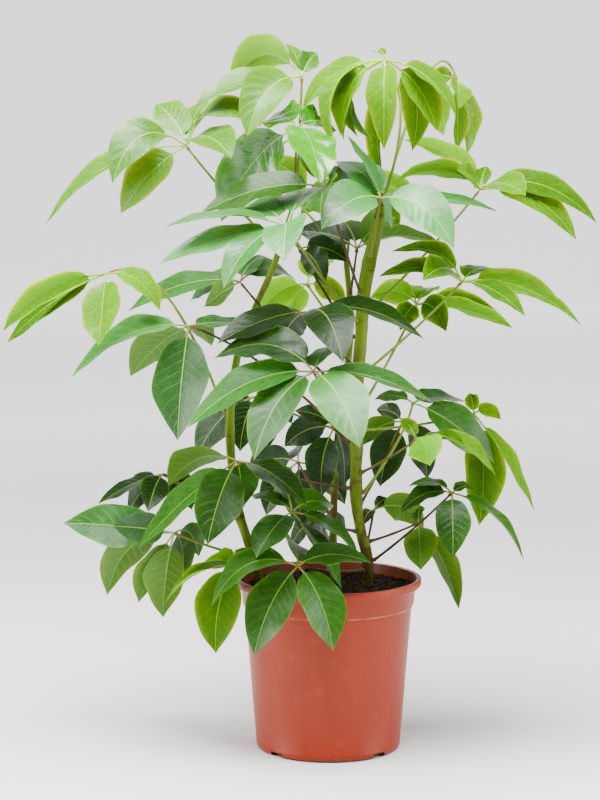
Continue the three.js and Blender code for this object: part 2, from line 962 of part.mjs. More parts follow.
function bladeGeometry(shape) {
  const rings = [];
  const stalkRing = (f, radius) => {
    const left = f.place
      .clone()
      .addScaledVector(f.side, -radius)
      .addScaledVector(f.normal, radius * 0.6);
    const right = f.place
      .clone()
      .addScaledVector(f.side, radius)
      .addScaledVector(f.normal, radius * 0.6);
    const low = f.place.clone().addScaledVector(f.normal, -radius);
    return [left, left, right, right, low, left];
  };
  rings.push(stalkRing(shape.frame(0), STALKLET_RADIUS * 0.6));
  rings.push(stalkRing(shape.stalkEnd, STALKLET_RADIUS));
  shape.rows.forEach((row) => {
    const top = [row.left, row.middle, row.right].map((p) =>
      p.clone().addScaledVector(row.normal, BLADE_THICK / 2),
    );
    const low = [row.right, row.middle, row.left].map((p) =>
      p.clone().addScaledVector(row.normal, -BLADE_THICK / 2),
    );
    rings.push([...top, ...low]);
  });
  rings.push(Array(6).fill(shape.tip));
  return loft(rings, [3, 4]);
}

// Flat triangles of a leaflet's middle surface, for telling whether two things cross.
function surfaceOf(shape, offset = 0) {
  const moved = shape.rows.map((row) =>
    [row.left, row.middle, row.right].map((p) => p.clone().addScaledVector(row.normal, offset)),
  );
  const start = shape.stalkEnd.place.clone().addScaledVector(shape.stalkEnd.normal, offset);
  const faces = [
    [start, moved[0][0], moved[0][1]],
    [start, moved[0][1], moved[0][2]],
  ];
  for (let i = 0; i + 1 < moved.length; i++) {
    for (let k = 0; k < 2; k++) {
      faces.push([moved[i][k], moved[i][k + 1], moved[i + 1][k + 1]]);
      faces.push([moved[i][k], moved[i + 1][k + 1], moved[i + 1][k]]);
    }
  }
  const end = moved[moved.length - 1];
  faces.push([shape.tip, end[1], end[0]]);
  faces.push([shape.tip, end[2], end[1]]);
  return faces;
}

function boxOf(faces, margin) {
  const box = new THREE.Box3();
  faces.forEach((face) => face.forEach((p) => box.expandByPoint(p)));
  return box.expandByScalar(margin);
}

const scratch = Array.from({ length: 5 }, () => new THREE.Vector3());
function pierces(from, to, [a, b, c]) {
  const [run, edge1, edge2, cross, offset] = scratch;
  run.subVectors(to, from);
  edge1.subVectors(b, a);
  edge2.subVectors(c, a);
  cross.crossVectors(run, edge2);
  const det = edge1.dot(cross);
  if (Math.abs(det) < 1e-9) return false;
  offset.subVectors(from, a);
  const u = offset.dot(cross) / det;
  if (u < 0 || u > 1) return false;
  offset.cross(edge1);
  const v = run.dot(offset) / det;
  if (v < 0 || u + v > 1) return false;
  const t = edge2.dot(offset) / det;
  return t >= 0 && t <= 1;
}

function crosses(facesA, facesB) {
  for (const faceA of facesA) {
    for (const faceB of facesB) {
      for (let k = 0; k < 3; k++) {
        if (pierces(faceA[k], faceA[(k + 1) % 3], faceB)) return true;
        if (pierces(faceB[k], faceB[(k + 1) % 3], faceA)) return true;
      }
    }
  }
  return false;
}

// Everything that already stands, as triangles with a box round each thing.
const standing = [];
function stand(owner, faces) {
  standing.push({ owner, faces, box: boxOf(faces, 0) });
}

function facesOf(geometry) {
  const at = geometry.attributes.position;
  const index = geometry.index.array;
  const faces = [];
  for (let i = 0; i < index.length; i += 3) {
    faces.push([0, 1, 2].map((k) => new THREE.Vector3().fromBufferAttribute(at, index[i + k])));
  }
  return faces;
}

function blocked(layers, owner, ownToo) {
  const boxes = layers.map((faces) => boxOf(faces, 0));
  let hits = 0;
  for (const thing of standing) {
    if (thing.owner === owner && !ownToo) continue;
    if (thing.owner === owner && thing.isPetiole) continue;
    const middleOnly = thing.owner === owner;
    layers.forEach((faces, i) => {
      if (middleOnly && i > 0) return;
      if (boxes[i].intersectsBox(thing.box) && crosses(faces, thing.faces)) hits += 1;
    });
  }
  return hits;
}

// The pot and the stems stand first, a little fattened.
for (const name of Object.keys(STEMS)) {
  const line = stemLines[name];
  stand("stem_" + name, facesOf(tube(line.points, line.radii.map((r) => r + CLEAR), STEM_SIDES)));
}
const potGuard = [
  [FOOT_RADIUS + CLEAR, 0],
  [RIM_RADIUS - 8, BAND_BOTTOM],
  [RIM_RADIUS + CLEAR, POT_HEIGHT - 12],
  [RIM_RADIUS + CLEAR, POT_HEIGHT + CLEAR],
  [RIM_RADIUS - 10, POT_HEIGHT + CLEAR],
  [RIM_RADIUS - 12, SOIL_TOP + 6],
  [0.01, SOIL_TOP + 9],
].map(([radius, height]) => new THREE.Vector2(radius, height));
const guard = mergeVertices(new THREE.LatheGeometry(potGuard, 24).rotateX(Math.PI / 2));
stand("pot", facesOf(guard));

// The leaf stalks next: from the stem to the hub in a shallow bow, bent sideways if one is in the way.
const PETIOLE_STEPS = 4;
const PETIOLE_SIDES = 4;
const BOWS = [
  [0, 0],
  [0, 14],
  [0, -14],
  [10, 0],
  [-10, 0],
  [0, 28],
  [0, -28],
  [18, 14],
  [-18, -14],
  [0, 42],
  [0, -42],
];
const petioles = {};
for (const leaf of LEAVES) {
  const root = onStem(...leaf.from);
  const end = spot(leaf.hub.across, leaf.hub.down, leaf.hub.depth);
  const length = end.distanceTo(root);
  const sag = new THREE.Vector3(0, 0, -0.05 * length);
  let chosen = null;
  for (const [bowAcross, bowBack] of BOWS) {
    const middle = leaf.via
      ? spot(leaf.via.across, leaf.via.down, leaf.via.depth)
      : root.clone().add(end).multiplyScalar(0.5).add(sag);
    middle.x += bowAcross;
    middle.y += bowBack;
    const points = [];
    for (let i = 0; i <= PETIOLE_STEPS; i++) {
      const t = i / PETIOLE_STEPS;
      points.push(
        root
          .clone()
          .multiplyScalar((1 - t) * (1 - t))
          .addScaledVector(middle, 2 * t * (1 - t))
          .addScaledVector(end, t * t),
      );
    }
    const radii = points.map(
      (p, i) => PETIOLE_ROOT_RADIUS + ((PETIOLE_TIP_RADIUS - PETIOLE_ROOT_RADIUS) * i) / PETIOLE_STEPS,
    );
    const fat = facesOf(tube(points, radii.map((r) => r + CLEAR), PETIOLE_SIDES));
    const box = boxOf(fat, 0);
    const hits = standing.filter(
      (s) => s.owner !== "stem_" + leaf.from[0] && box.intersectsBox(s.box) && crosses(fat, s.faces),
    );
    if (!chosen || hits.length < chosen.hits.length) chosen = { points, radii, fat, hits };
    if (!hits.length) break;
  }
  petioles[leaf.name] = chosen;
  stand(leaf.name, chosen.fat);
  standing[standing.length - 1].isPetiole = true;
}

// Then the leaflets, one after another. A leaflet that would cross something that already stands
// keeps its tip's place in the picture and slides along the line of sight until it is clear.
const SLIDES = [0, 10, -10, 20, -20, 32, -32, 46, -46, 62, -62, 80, -80];
const ARCHES = [1, 0.5, 1.6];
const LIFTS = [-CLEAR, 0, CLEAR];
const leafSolids = {};
const blades = {};
for (const leaf of LEAVES) blades[leaf.name] = [];
LEAVES.forEach((leaf, leafCount) => {
  const at = spot(leaf.hub.across, leaf.hub.down, leaf.hub.depth);
  const scale = (leaf.hub.depth + VIEW_BACK) / VIEW_FOCAL;
  leaf.leaflets.forEach((spec, count) => {
    const flat = spot(spec.across, spec.down, leaf.hub.depth);
    const seen = flat.distanceTo(at);
    const missing = Math.sqrt(Math.max(0, leaf.reach * leaf.reach - seen * seen));
    const depth = leaf.hub.depth - spec.lean * missing;
    const phase = 1.7 * count + 0.9 * leafCount;
    let best = null;
    search: for (const bendBy of ARCHES) {
      for (const slide of SLIDES) {
        const tip = spot(spec.across, spec.down, depth + slide);
        const length = tip.distanceTo(at);
        const full = Math.min(leaf.wide / 2, length * BROADEST);
        const share = Math.min(1, (spec.seen * scale) / (2 * full));
        const shaped = { ...spec, arch: spec.arch * bendBy };
        const shape = leafletShape(at, tip, { width: full, share }, leaf, shaped, phase);
        const layers = LIFTS.map((lift) => surfaceOf(shape, lift));
        const hits = blocked([layers[1], layers[0], layers[2]], leaf.name, true);
        if (!best || hits < best.hits) best = { hits, shape, slide, bendBy };
        if (!hits) break search;
      }
    }
    blades[leaf.name].push(best.shape);
    stand(leaf.name, surfaceOf(best.shape));
  });
});

// Each compound leaf is fused into one body, and its foot is trimmed to stand just clear of its stem.
for (const leaf of LEAVES) {
  const petiole = petioles[leaf.name];
  const radii = [...petiole.radii];
  const points = [...petiole.points];
  const end = points[points.length - 1];
  const run = end.clone().sub(points[points.length - 2]).normalize();
  points.push(end.clone().addScaledVector(run, 2.2));
  radii[radii.length - 1] = KNOB_RADIUS;
  radii.push(KNOB_RADIUS * 0.7);
  let made = solid(tube(points, radii, PETIOLE_SIDES));
  for (const shape of blades[leaf.name]) made = made.add(solid(bladeGeometry(shape)));
  const line = stemLines[leaf.from[0]];
  const fat = tube(line.points, line.radii.map((r) => r + GAP), STEM_SIDES);
  made = made.subtract(solid(fat));
  const parts = made.decompose().sort((a, b) => b.volume() - a.volume());
  place(leaf.name, geometryOf(parts[0]), COLOURS[leaf.tone], ROUGHNESS.leaf);
}

// The stems.
for (const name of Object.keys(STEMS)) {
  place("stem_" + name, stemSolids[name], COLOURS.stem, ROUGHNESS.stem);
}

// The pot: a turned shell with a rolled rim, a band under it, a rounded foot and drain notches.
const profile = [
  [0, 0],
  [FOOT_RADIUS - 4.5, 0],
  [FOOT_RADIUS - 1.2, 1.4],
  [FOOT_RADIUS, 5],
  [112.2, BAND_BOTTOM - 2],
  [113.4, BAND_BOTTOM],
  [115, BAND_BOTTOM + 3],
  [116.6, 214],
  [RIM_RADIUS - 1.2, 220.5],
  [RIM_RADIUS, 222],
  [RIM_RADIUS, POT_HEIGHT - 1.2],
  [RIM_RADIUS - 1.2, POT_HEIGHT],
  [119.6, POT_HEIGHT],
  [118.6, POT_HEIGHT - 1],
  [114.2, 213],
  [112.6, BAND_BOTTOM + 3],
  [110, BAND_BOTTOM - 3],
  [FOOT_RADIUS - WALL, 7],
  [FOOT_RADIUS - 5, WALL + 0.6],
  [0, WALL + 0.6],
].map(([radius, height]) => new THREE.Vector2(radius, height));

function turned(points, sides) {
  const rings = [];
  for (let k = 0; k < sides; k++) {
    const turn = (2 * Math.PI * (k + 0.5)) / sides;
    rings.push(points.map((p) => new THREE.Vector3(p.x * Math.cos(turn), p.x * Math.sin(turn), p.y)));
  }
  const count = points.length;
  const places = [];
  rings.forEach((ring) => ring.forEach((p) => places.push(p.x, p.y, p.z)));
  const faces = [];
  for (let i = 0; i < sides; i++) {
    const next = (i + 1) % sides;
    for (let j = 0; j + 1 < count; j++) {
      const [a, b, c, d] = [i * count + j, next * count + j, next * count + j + 1, i * count + j + 1];
      faces.push(a, b, c, a, c, d);
    }
  }
  return shut(places, faces);
}

let pot = solid(turned(profile, POT_SIDES));
for (let i = 0; i < DRAIN_COUNT; i++) {
  const turn = THREE.MathUtils.degToRad(-90 + DRAIN_TURN + (360 / DRAIN_COUNT) * i);
  const notch = new THREE.BoxGeometry(16, DRAIN_WIDTH, DRAIN_HEIGHT * 2);
  notch.translate(FOOT_RADIUS - 1, 0, 0);
  notch.rotateZ(turn);
  pot = pot.subtract(solid(notch));
}
place("pot", geometryOf(pot), COLOURS.pot, ROUGHNESS.pot);

// The peat: it fills the pot to a little below the rim, its top is uneven, and each stem has its hole.
const SOIL_RINGS = [0.3, 0.62, 1];
const SOIL_SIDES = 24;
let draw = 20240611;
function chance() {
  draw = (draw * 1664525 + 1013904223) % 4294967296;
  return draw / 4294967296;
}
function soilSolid() {
  const places = [0, 0, SOIL_TOP];
  const faces = [];
  const topRadius = 114.8 - SOIL_GAP - 0.8;
  SOIL_RINGS.forEach((share, ring) => {
    for (let k = 0; k < SOIL_SIDES; k++) {
      const turn = (2 * Math.PI * k) / SOIL_SIDES;
      const radius = topRadius * share;
      const bump = ring === SOIL_RINGS.length - 1 ? -2 : 6 * (chance() - 0.5);
      places.push(radius * Math.cos(turn), radius * Math.sin(turn), SOIL_TOP + bump);
    }
  });
  const lower = [
    [112.6 - SOIL_GAP - 0.8, BAND_BOTTOM + 4],
    [110 - SOIL_GAP - 1.2, BAND_BOTTOM - 4],
    [FOOT_RADIUS - WALL - SOIL_GAP - 1, 9],
    [FOOT_RADIUS - 7, WALL + 0.6 + SOIL_GAP],
  ];
  lower.forEach(([radius, height]) => {
    for (let k = 0; k < SOIL_SIDES; k++) {
      const turn = (2 * Math.PI * k) / SOIL_SIDES;
      places.push(radius * Math.cos(turn), radius * Math.sin(turn), height);
    }
  });
  const bottom = places.length / 3;
  places.push(0, 0, WALL + 0.6 + SOIL_GAP);
  const rings = SOIL_RINGS.length + lower.length;
  for (let k = 0; k < SOIL_SIDES; k++) {
    const next = (k + 1) % SOIL_SIDES;
    faces.push(0, 1 + k, 1 + next);
    for (let ring = 0; ring + 1 < rings; ring++) {
      const [a, b] = [1 + ring * SOIL_SIDES + k, 1 + ring * SOIL_SIDES + next];
      const [c, d] = [b + SOIL_SIDES, a + SOIL_SIDES];
      faces.push(a, d, c, a, c, b);
    }
    const last = 1 + (rings - 1) * SOIL_SIDES;
    faces.push(last + next, last + k, bottom);
  }
  return solid(shut(places, faces));
}
let soil = soilSolid();
for (const name of Object.keys(STEMS)) {
  const line = stemLines[name];
  const foot = line.points[0].clone();
  const up = line.points[1].clone().sub(foot).normalize();
  const points = [foot.clone().addScaledVector(up, -GAP), ...line.points.slice(1)];
  const radii = line.radii.map((r) => r + GAP);
  soil = soil.subtract(solid(tube(points, radii, STEM_SIDES)));
}
place("soil", geometryOf(soil), COLOURS.soil, ROUGHNESS.soil);

export default plant;
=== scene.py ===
import math
import random
from collections import namedtuple

import bmesh
import bpy
import numpy as np
from mathutils import Matrix, Vector, kdtree, noise


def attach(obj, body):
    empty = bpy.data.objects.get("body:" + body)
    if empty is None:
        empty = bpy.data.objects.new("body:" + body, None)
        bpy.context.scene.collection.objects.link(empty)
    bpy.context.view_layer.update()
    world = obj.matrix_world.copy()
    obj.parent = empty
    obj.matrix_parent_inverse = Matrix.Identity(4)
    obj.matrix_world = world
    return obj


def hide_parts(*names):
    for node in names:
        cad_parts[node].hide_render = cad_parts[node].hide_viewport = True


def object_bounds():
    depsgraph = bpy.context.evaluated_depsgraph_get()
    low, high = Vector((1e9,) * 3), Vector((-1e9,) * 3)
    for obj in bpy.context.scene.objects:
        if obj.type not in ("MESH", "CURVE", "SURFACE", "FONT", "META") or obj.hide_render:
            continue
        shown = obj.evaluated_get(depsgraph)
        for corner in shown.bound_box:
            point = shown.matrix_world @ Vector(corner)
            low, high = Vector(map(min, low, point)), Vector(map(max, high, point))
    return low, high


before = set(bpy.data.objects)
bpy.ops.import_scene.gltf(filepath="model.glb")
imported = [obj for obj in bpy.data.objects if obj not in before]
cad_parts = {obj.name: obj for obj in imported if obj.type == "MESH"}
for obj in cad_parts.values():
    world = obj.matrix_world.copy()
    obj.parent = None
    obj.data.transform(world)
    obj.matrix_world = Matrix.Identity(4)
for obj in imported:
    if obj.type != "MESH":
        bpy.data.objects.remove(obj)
cad_low, cad_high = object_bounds()
print("plain solids:", len(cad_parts), "box", cad_low[:], cad_high[:])

# %% [markdown]
# ## The camera's place
# A plant has no straight edges to measure from, so most places are given as a point in the
# photograph and a depth. `spot` turns the two into a point in space, in millimetres. The same
# numbers then place the camera, so the render lines up with the photograph.
# %% Where the camera stands
MM = 0.001
VIEW_ACROSS = -38.0
VIEW_BACK = 3000.0
VIEW_UP = 800.0
VIEW_PITCH = math.radians(6.3)
VIEW_FOCAL = 2266.0
PICTURE_WIDE, PICTURE_TALL = 600, 800
VIEW_PLACE = np.array([VIEW_ACROSS, -VIEW_BACK, VIEW_UP])
UP = np.array([0.0, 0.0, 1.0])


def spot(across, down, depth):
    right = (across - PICTURE_WIDE / 2) / VIEW_FOCAL
    rise = (PICTURE_TALL / 2 - down) / VIEW_FOCAL
    forward = math.cos(VIEW_PITCH) + rise * math.sin(VIEW_PITCH)
    upward = rise * math.cos(VIEW_PITCH) - math.sin(VIEW_PITCH)
    run = (depth + VIEW_BACK) / forward
    return np.array([VIEW_ACROSS + right * run, depth, VIEW_UP + upward * run])


SENSOR = 36.0
camera_data = bpy.data.cameras.new("camera")
camera_data.sensor_width = SENSOR
camera_data.lens = VIEW_FOCAL * SENSOR / PICTURE_TALL
camera_data.clip_end = 100
camera = bpy.data.objects.new("camera", camera_data)
camera.location = VIEW_PLACE * MM
camera.rotation_euler = (math.pi / 2 - VIEW_PITCH, 0, 0)
bpy.context.scene.collection.objects.link(camera)
bpy.context.scene.camera = camera
print("lens", round(camera_data.lens, 1), "mm, camera at", camera.location[:])

# %% [markdown]
# ## Writing a finish as sums
# A material in Blender is a web of nodes. Wired by hand it is hard to read, so a small class
# wraps one socket and lets Python's own signs add the Math nodes: `1 - mask` is one node, and so
# is `mask * 0.3`. Colours are mixed with Mix nodes, because a Math node would turn them grey.
# %% A socket that can be added and multiplied
class Wire:
    """One output of a node, with Python's signs for its sums."""

    def __init__(self, finish, socket):
        self.finish = finish
        self.socket = socket

    def math(self, operation, *values):
        return self.finish.node("ShaderNodeMath", {"operation": operation}, *values)

    def __add__(self, other):
        return self.math("ADD", self, other)

    def __radd__(self, other):
        return self.math("ADD", other, self)

    def __sub__(self, other):
        return self.math("SUBTRACT", self, other)

    def __rsub__(self, other):
        return self.math("SUBTRACT", other, self)

    def __mul__(self, other):
        return self.math("MULTIPLY", self, other)

    def __rmul__(self, other):
        return self.math("MULTIPLY", other, self)

    def __pow__(self, other):
        return self.math("POWER", self, other)

    def __abs__(self):
        return self.math("ABSOLUTE", self)


class Finish:
    """A material that is built node by node round one Principled shader."""

    def __init__(self, name):
        self.material = bpy.data.materials.new(name)
        self.material.use_nodes = True
        self.tree = self.material.node_tree
        self.shader = self.tree.nodes["Principled BSDF"]

    def node(self, kind, settings=None, *values, pick=0, **named):
        made = self.tree.nodes.new(kind)
        for key, value in (settings or {}).items():
            if key == "stops":
                self.set_stops(made.color_ramp, value)
            else:
                setattr(made, key, value)
        for slot, value in enumerate(values):
            self.feed(made.inputs[slot], value)
        for key, value in named.items():
            self.feed(made.inputs[key.replace("_", " ")], value)
        return Wire(self, made.outputs[pick])

    def feed(self, socket, value):
        if isinstance(value, Wire):
            self.tree.links.new(value.socket, socket)
        elif isinstance(value, tuple) and len(value) == 3 and socket.type == "RGBA":
            socket.default_value = (*value, 1)
        else:
            socket.default_value = value

    def set_stops(self, ramp, stops):
        while len(ramp.elements) < len(stops):
            ramp.elements.new(1)
        for element, (place, grey) in zip(ramp.elements, stops):
            element.position = place
            element.color = (grey, grey, grey, 1)

    def mix(self, first, second, share):
        """The first colour where share is 0, the second where it is 1."""
        made = self.tree.nodes.new("ShaderNodeMix")
        made.data_type = "RGBA"
        self.feed(made.inputs[0], share)
        self.feed(made.inputs[6], first)
        self.feed(made.inputs[7], second)
        return Wire(self, made.outputs[2])

    def step(self, value, start, end, low=0.0, high=1.0):
        """Goes smoothly from low to high as the value goes from start to end."""
        settings = {"interpolation_type": "SMOOTHSTEP"}
        return self.node("ShaderNodeMapRange", settings, value, start, end, low, high)

    def read(self, name):
        """A number that the mesh keeps for each of its points."""
        return self.node("ShaderNodeAttribute", {"attribute_name": name}, pick=2)

    def place(self):
        return self.node("ShaderNodeTexCoord", pick=3)

    def stretch(self, scale):
        return self.node("ShaderNodeMapping", None, Vector=self.place(), Scale=scale)

    def grain(self, scale, detail=3.0, at=None, roughness=0.55):
        where = at or self.place()
        return self.node(
            "ShaderNodeTexNoise", None, Vector=where, Scale=scale, Detail=detail, Roughness=roughness
        )

    def cells(self, scale, feature="F1", at=None):
        settings = {"feature": feature}
        return self.node("ShaderNodeTexVoronoi", settings, Vector=at or self.place(), Scale=scale)

    def height_and_radius(self):
        """How high a place is and how far from the pot's axis, in metres."""
        across, back, height = (
            self.node("ShaderNodeSeparateXYZ", None, self.place(), pick=k) for k in range(3)
        )
        return height, (across * across + back * back) ** 0.5

    def surface(self, colour, roughness, relief=None, depth=0.0, **others):
        """Feeds the shader. The relief, from 0 to 1, stands out by the depth in metres."""
        self.feed(self.shader.inputs["Base Color"], colour)
        self.feed(self.shader.inputs["Roughness"], roughness)
        for key, value in others.items():
            self.feed(self.shader.inputs[key.replace("_", " ")], value)
        if relief is not None:
            bumped = self.node("ShaderNodeBump", None, Strength=1.0, Distance=depth, Height=relief)
            self.feed(self.shader.inputs["Normal"], bumped)
        return self.material


def colour(red, green, blue):
    """A colour as the eye names it, 0 to 255, turned into the light that the renderer adds up."""
    linear = []
    for part in (red, green, blue):
        share = part / 255
        linear.append(share / 12.92 if share <= 0.04045 else ((share + 0.055) / 1.055) ** 2.4)
    return tuple(linear)


print("a finish can now be written as sums")

# %% [markdown]
# ## Finishing a mesh
# Every piece ends the same way: its faces are turned outwards and shaded smooth, it gets its
# finishes, it rides on the pot's body and its plain solid is hidden. Shared steps belong in one
# helper, so that no piece misses one of them. Peat, stems and leaves all start as a flat grid
# that is rolled up, and merging its doubles closes the seam and the two ends.
# %% Helpers that every piece uses
def finish_piece(name, bm, materials, node):
    bmesh.ops.recalc_face_normals(bm, faces=bm.faces)
    for face in bm.faces:
        face.smooth = True
    mesh = bpy.data.meshes.new(name)
    bm.to_mesh(mesh)
    bm.free()
    for material in materials:
        mesh.materials.append(material)
    piece = bpy.data.objects.new(name, mesh)
    bpy.context.scene.collection.objects.link(piece)
    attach(piece, "root")
    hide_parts(node)
    return piece


def mesh_with(*numbers):
    """An empty mesh whose points can keep these numbers."""
    bm = bmesh.new()
    for name in numbers:
        bm.verts.layers.float.new(name)
    return bm


def rolled_grid(bm, around, along, skin):
    """A grid rolled up into a closed skin. skin(turn, run), both from 0 to 1, gives the points."""
    made = bmesh.ops.create_grid(bm, x_segments=around, y_segments=along, size=0.5)
    verts = made["verts"]
    flat = np.array([v.co[:] for v in verts]) + 0.5
    points, numbers = skin(flat[:, 0], flat[:, 1])
    for vert, point in zip(verts, points * MM):
        vert.co = point
    for name, values in numbers.items():
        layer = bm.verts.layers.float[name]
        for vert, value in zip(verts, values):
            vert[layer] = value
    faces = {face for vert in verts for face in vert.link_faces}
    bmesh.ops.remove_doubles(bm, verts=verts, dist=1e-6)
    return [face for face in faces if face.is_valid]


BOX_LOW, BOX_HIGH = np.array(cad_low) / MM, np.array(cad_high) / MM
BOX_EDGE = 2.5


def pressed(past):
    return past - BOX_EDGE * (1 - np.exp(-past / BOX_EDGE))


def within_box(points):
    """Points near or past the side of the plain solids' box are pressed softly inside it."""
    over = np.maximum(points - (BOX_HIGH - BOX_EDGE), 0)
    under = np.maximum(BOX_LOW + BOX_EDGE - points, 0)
    return points - pressed(over) + pressed(under)


def unit(vectors):
    return vectors / np.maximum(np.linalg.norm(vectors, axis=-1, keepdims=True), 1e-9)


def smooth_between(places, values, at):
    """A soft curve through (place, value) pairs, level where two neighbours are equal."""
    places, values = np.asarray(places, float), np.asarray(values, float)
    slopes = np.diff(values) / np.diff(places)
    ends = np.concatenate([[slopes[0]], (slopes[1:] + slopes[:-1]) / 2, [slopes[-1]]])
    for i, slope in enumerate(slopes):
        if slope == 0:
            ends[i] = ends[i + 1] = 0
    low = np.clip(np.searchsorted(places, at, side="right") - 1, 0, len(slopes) - 1)
    gap = places[low + 1] - places[low]
    part = np.clip((at - places[low]) / gap, 0, 1)
    return (
        values[low] * (1 + 2 * part) * (1 - part) ** 2
        + values[low + 1] * part * part * (3 - 2 * part)
        + gap * ends[low] * part * (1 - part) ** 2
        + gap * ends[low + 1] * part * part * (part - 1)
    )


def along_line(points, at):
    """Points on the soft curve through a line of points, for shares of its length."""
    points = np.asarray(points, float)
    steps = np.linalg.norm(np.diff(points, axis=0), axis=1)
    shares = np.concatenate([[0], np.cumsum(steps)]) / steps.sum()
    return np.stack([smooth_between(shares, points[:, k], at) for k in range(3)], axis=-1), shares


def ring_frames(line, at):
    """Two directions square to a line at each place, with little twist along it."""
    hint = np.array([1.0, 0.0, 0.0])
    ahead, _ = along_line(line, np.minimum(at + 0.01, 1))
    behind, _ = along_line(line, np.maximum(at - 0.01, 0))
    direction = unit(ahead - behind)
    side = unit(hint - direction * (direction @ hint)[:, None])
    return side, np.cross(direction, side)


print("helpers ready")

# %% [markdown]
# ## The plastic of the nursery pot
# The pot is thin moulded plastic in a terracotta colour. It has a soft satin shine, faint upright
# flow marks from the mould, a little dust and some fine scratches. They come from noise that is
# stretched along the height, so the finish has no seam. The height and the distance from the
# axis tell it where the inner wall is darkened to a dark brown, and where pale lines on the rim
# and the bead are painted, partly as rubbed wear and partly as a painted highlight.
# %% Terracotta plastic
SOIL_LINE = 0.216
INSIDE_AT_RIM = (0.1189, 0.1197)
INSIDE_AT_FOOT = (0.0955, 0.0962)
INSIDE_TAPER = 0.082
LIP_RADIUS, LIP_HEIGHT = 0.1199, (0.2275, 0.229)
BEAD_HEIGHT, BEAD_RADIUS = 0.1937, (0.1125, 0.113)


def pot_plastic():
    finish = Finish("terracotta_plastic")
    flow = finish.grain(9.0, 4.0, at=finish.stretch((6.0, 6.0, 0.7)))
    dust = finish.step(finish.grain(38.0, 6.0), 0.56, 0.78)
    speckle = finish.step(finish.cells(420.0), 0.05, 0.16, 1.0, 0.0)
    scratch = finish.step(finish.grain(26.0, 8.0, at=finish.stretch((1.0, 1.0, 14.0))), 0.64, 0.72)
    body = finish.mix(colour(116, 33, 13), colour(134, 43, 19), flow)
    body = finish.mix(body, colour(182, 92, 66), dust * 0.16)
    body = finish.mix(body, colour(196, 120, 96), scratch * 0.05)
    body = finish.mix(body, colour(112, 36, 20), speckle * 0.3)
    height, radius = finish.height_and_radius()
    # The inner wall, above and below the peat's top, is darkened towards a dark brown.
    upper = finish.step(height, SOIL_LINE, 0.222) * finish.step(radius, *INSIDE_AT_RIM, 1.0, 0.0)
    lower = finish.step(height, SOIL_LINE, 0.220, 1.0, 0.0)
    lower = lower * finish.step(radius - height * INSIDE_TAPER, *INSIDE_AT_FOOT, 1.0, 0.0)
    darkened_inside = (upper + lower).math("MINIMUM", upper + lower, 1.0)
    body = finish.mix(body, colour(58, 36, 18), darkened_inside * (0.62 + dust * 0.3 + flow * 0.2))
    # Pale lines on the rim and on the bead: partly rubbed wear, partly a painted highlight where the edges
    # catch light.
    lip = finish.step(abs(radius - LIP_RADIUS), 0.0004, 0.0012, 1.0, 0.0)
    lip = lip * finish.step(height, *LIP_HEIGHT)
    bead = finish.step(abs(height - BEAD_HEIGHT), 0.0004, 0.0011, 1.0, 0.0)
    bead = bead * finish.step(radius, *BEAD_RADIUS)
    wear_and_highlight = finish.step(finish.grain(60.0, 5.0), 0.36, 0.6)
    body = finish.mix(body, colour(214, 150, 124), lip * (0.35 + wear_and_highlight * 0.4) + bead * (0.06 + wear_and_highlight * 0.24))
    roughness = 0.36 + dust * 0.16 + flow * 0.08
    relief = flow * 0.5 + scratch * 0.4 - speckle * 0.3
    return finish.surface(body, roughness, relief, depth=0.00012, Specular_IOR_Level=0.18)


POT_PLASTIC = pot_plastic()
print("made", POT_PLASTIC.name)

# %% [markdown]
# ## The pot
# A turned shape is quickest as a spin: draw half of its outline once and sweep it round the axis.
# The outline goes up the outside, over the flat rim and down the inside, so the wall is a real
# wall. The drain notches and the small slot in the collar are then cut out with boxes.
# %% The pot's outline
POT_OUTLINE = [
    (0, 0), (60, 0), (92.5, 0), (94.4, 0.35), (95.7, 1.2), (96.6, 2.8), (97.0, 4.8), (97.0, 6.8),
    (97.5, 7.3), (97.5, 8.3), (97.2, 8.8), (101.7, 62), (106.3, 120), (109.9, 164),
    (111.9, 190.6), (112.7, 191.4), (113.5, 192.2), (113.8, 193.2), (113.6, 194.2), (113.9, 195.2),
    (114.7, 196.2), (115.1, 197.4), (116.6, 213.4), (117.2, 214.8), (123.4, 219.9), (124.6, 220.9),
    (125, 222.2), (125, 228.6), (124.7, 229.5), (124.0, 229.95), (120.4, 230), (119.7, 229.8),
    (119.2, 229.2), (118.4, 228.4), (114.2, 213), (112.6, 197), (110, 191), (102.2, 98),
    (94.6, 8), (93.4, 4.6), (91.0, 3.0), (60, 3.0), (0, 3.0),
]
POT_TURNS = 144
SHARP_PAST = 38
NOTCH_COUNT = 4
NOTCH_TURN = 44
NOTCH_RADIUS = 96
NOTCH_SIZE = (16, 20, 12)
SLOT_TURN = 76
SLOT_RADIUS, SLOT_HEIGHT = 116.1, 204
SLOT_SIZE = (2.4, 2.6, 13)
FRONT = -90


def box_at(bm, turn, radius, height, size):
    """A box whose first side points away from the axis."""
    verts = bmesh.ops.create_cube(bm, size=1.0)["verts"]
    bmesh.ops.scale(bm, verts=verts, vec=Vector(size) * MM)
    bmesh.ops.translate(bm, verts=verts, vec=Vector((radius, 0, height)) * MM)
    about_axis = Matrix.Rotation(math.radians(turn), 3, "Z")
    bmesh.ops.rotate(bm, verts=verts, cent=(0, 0, 0), matrix=about_axis)


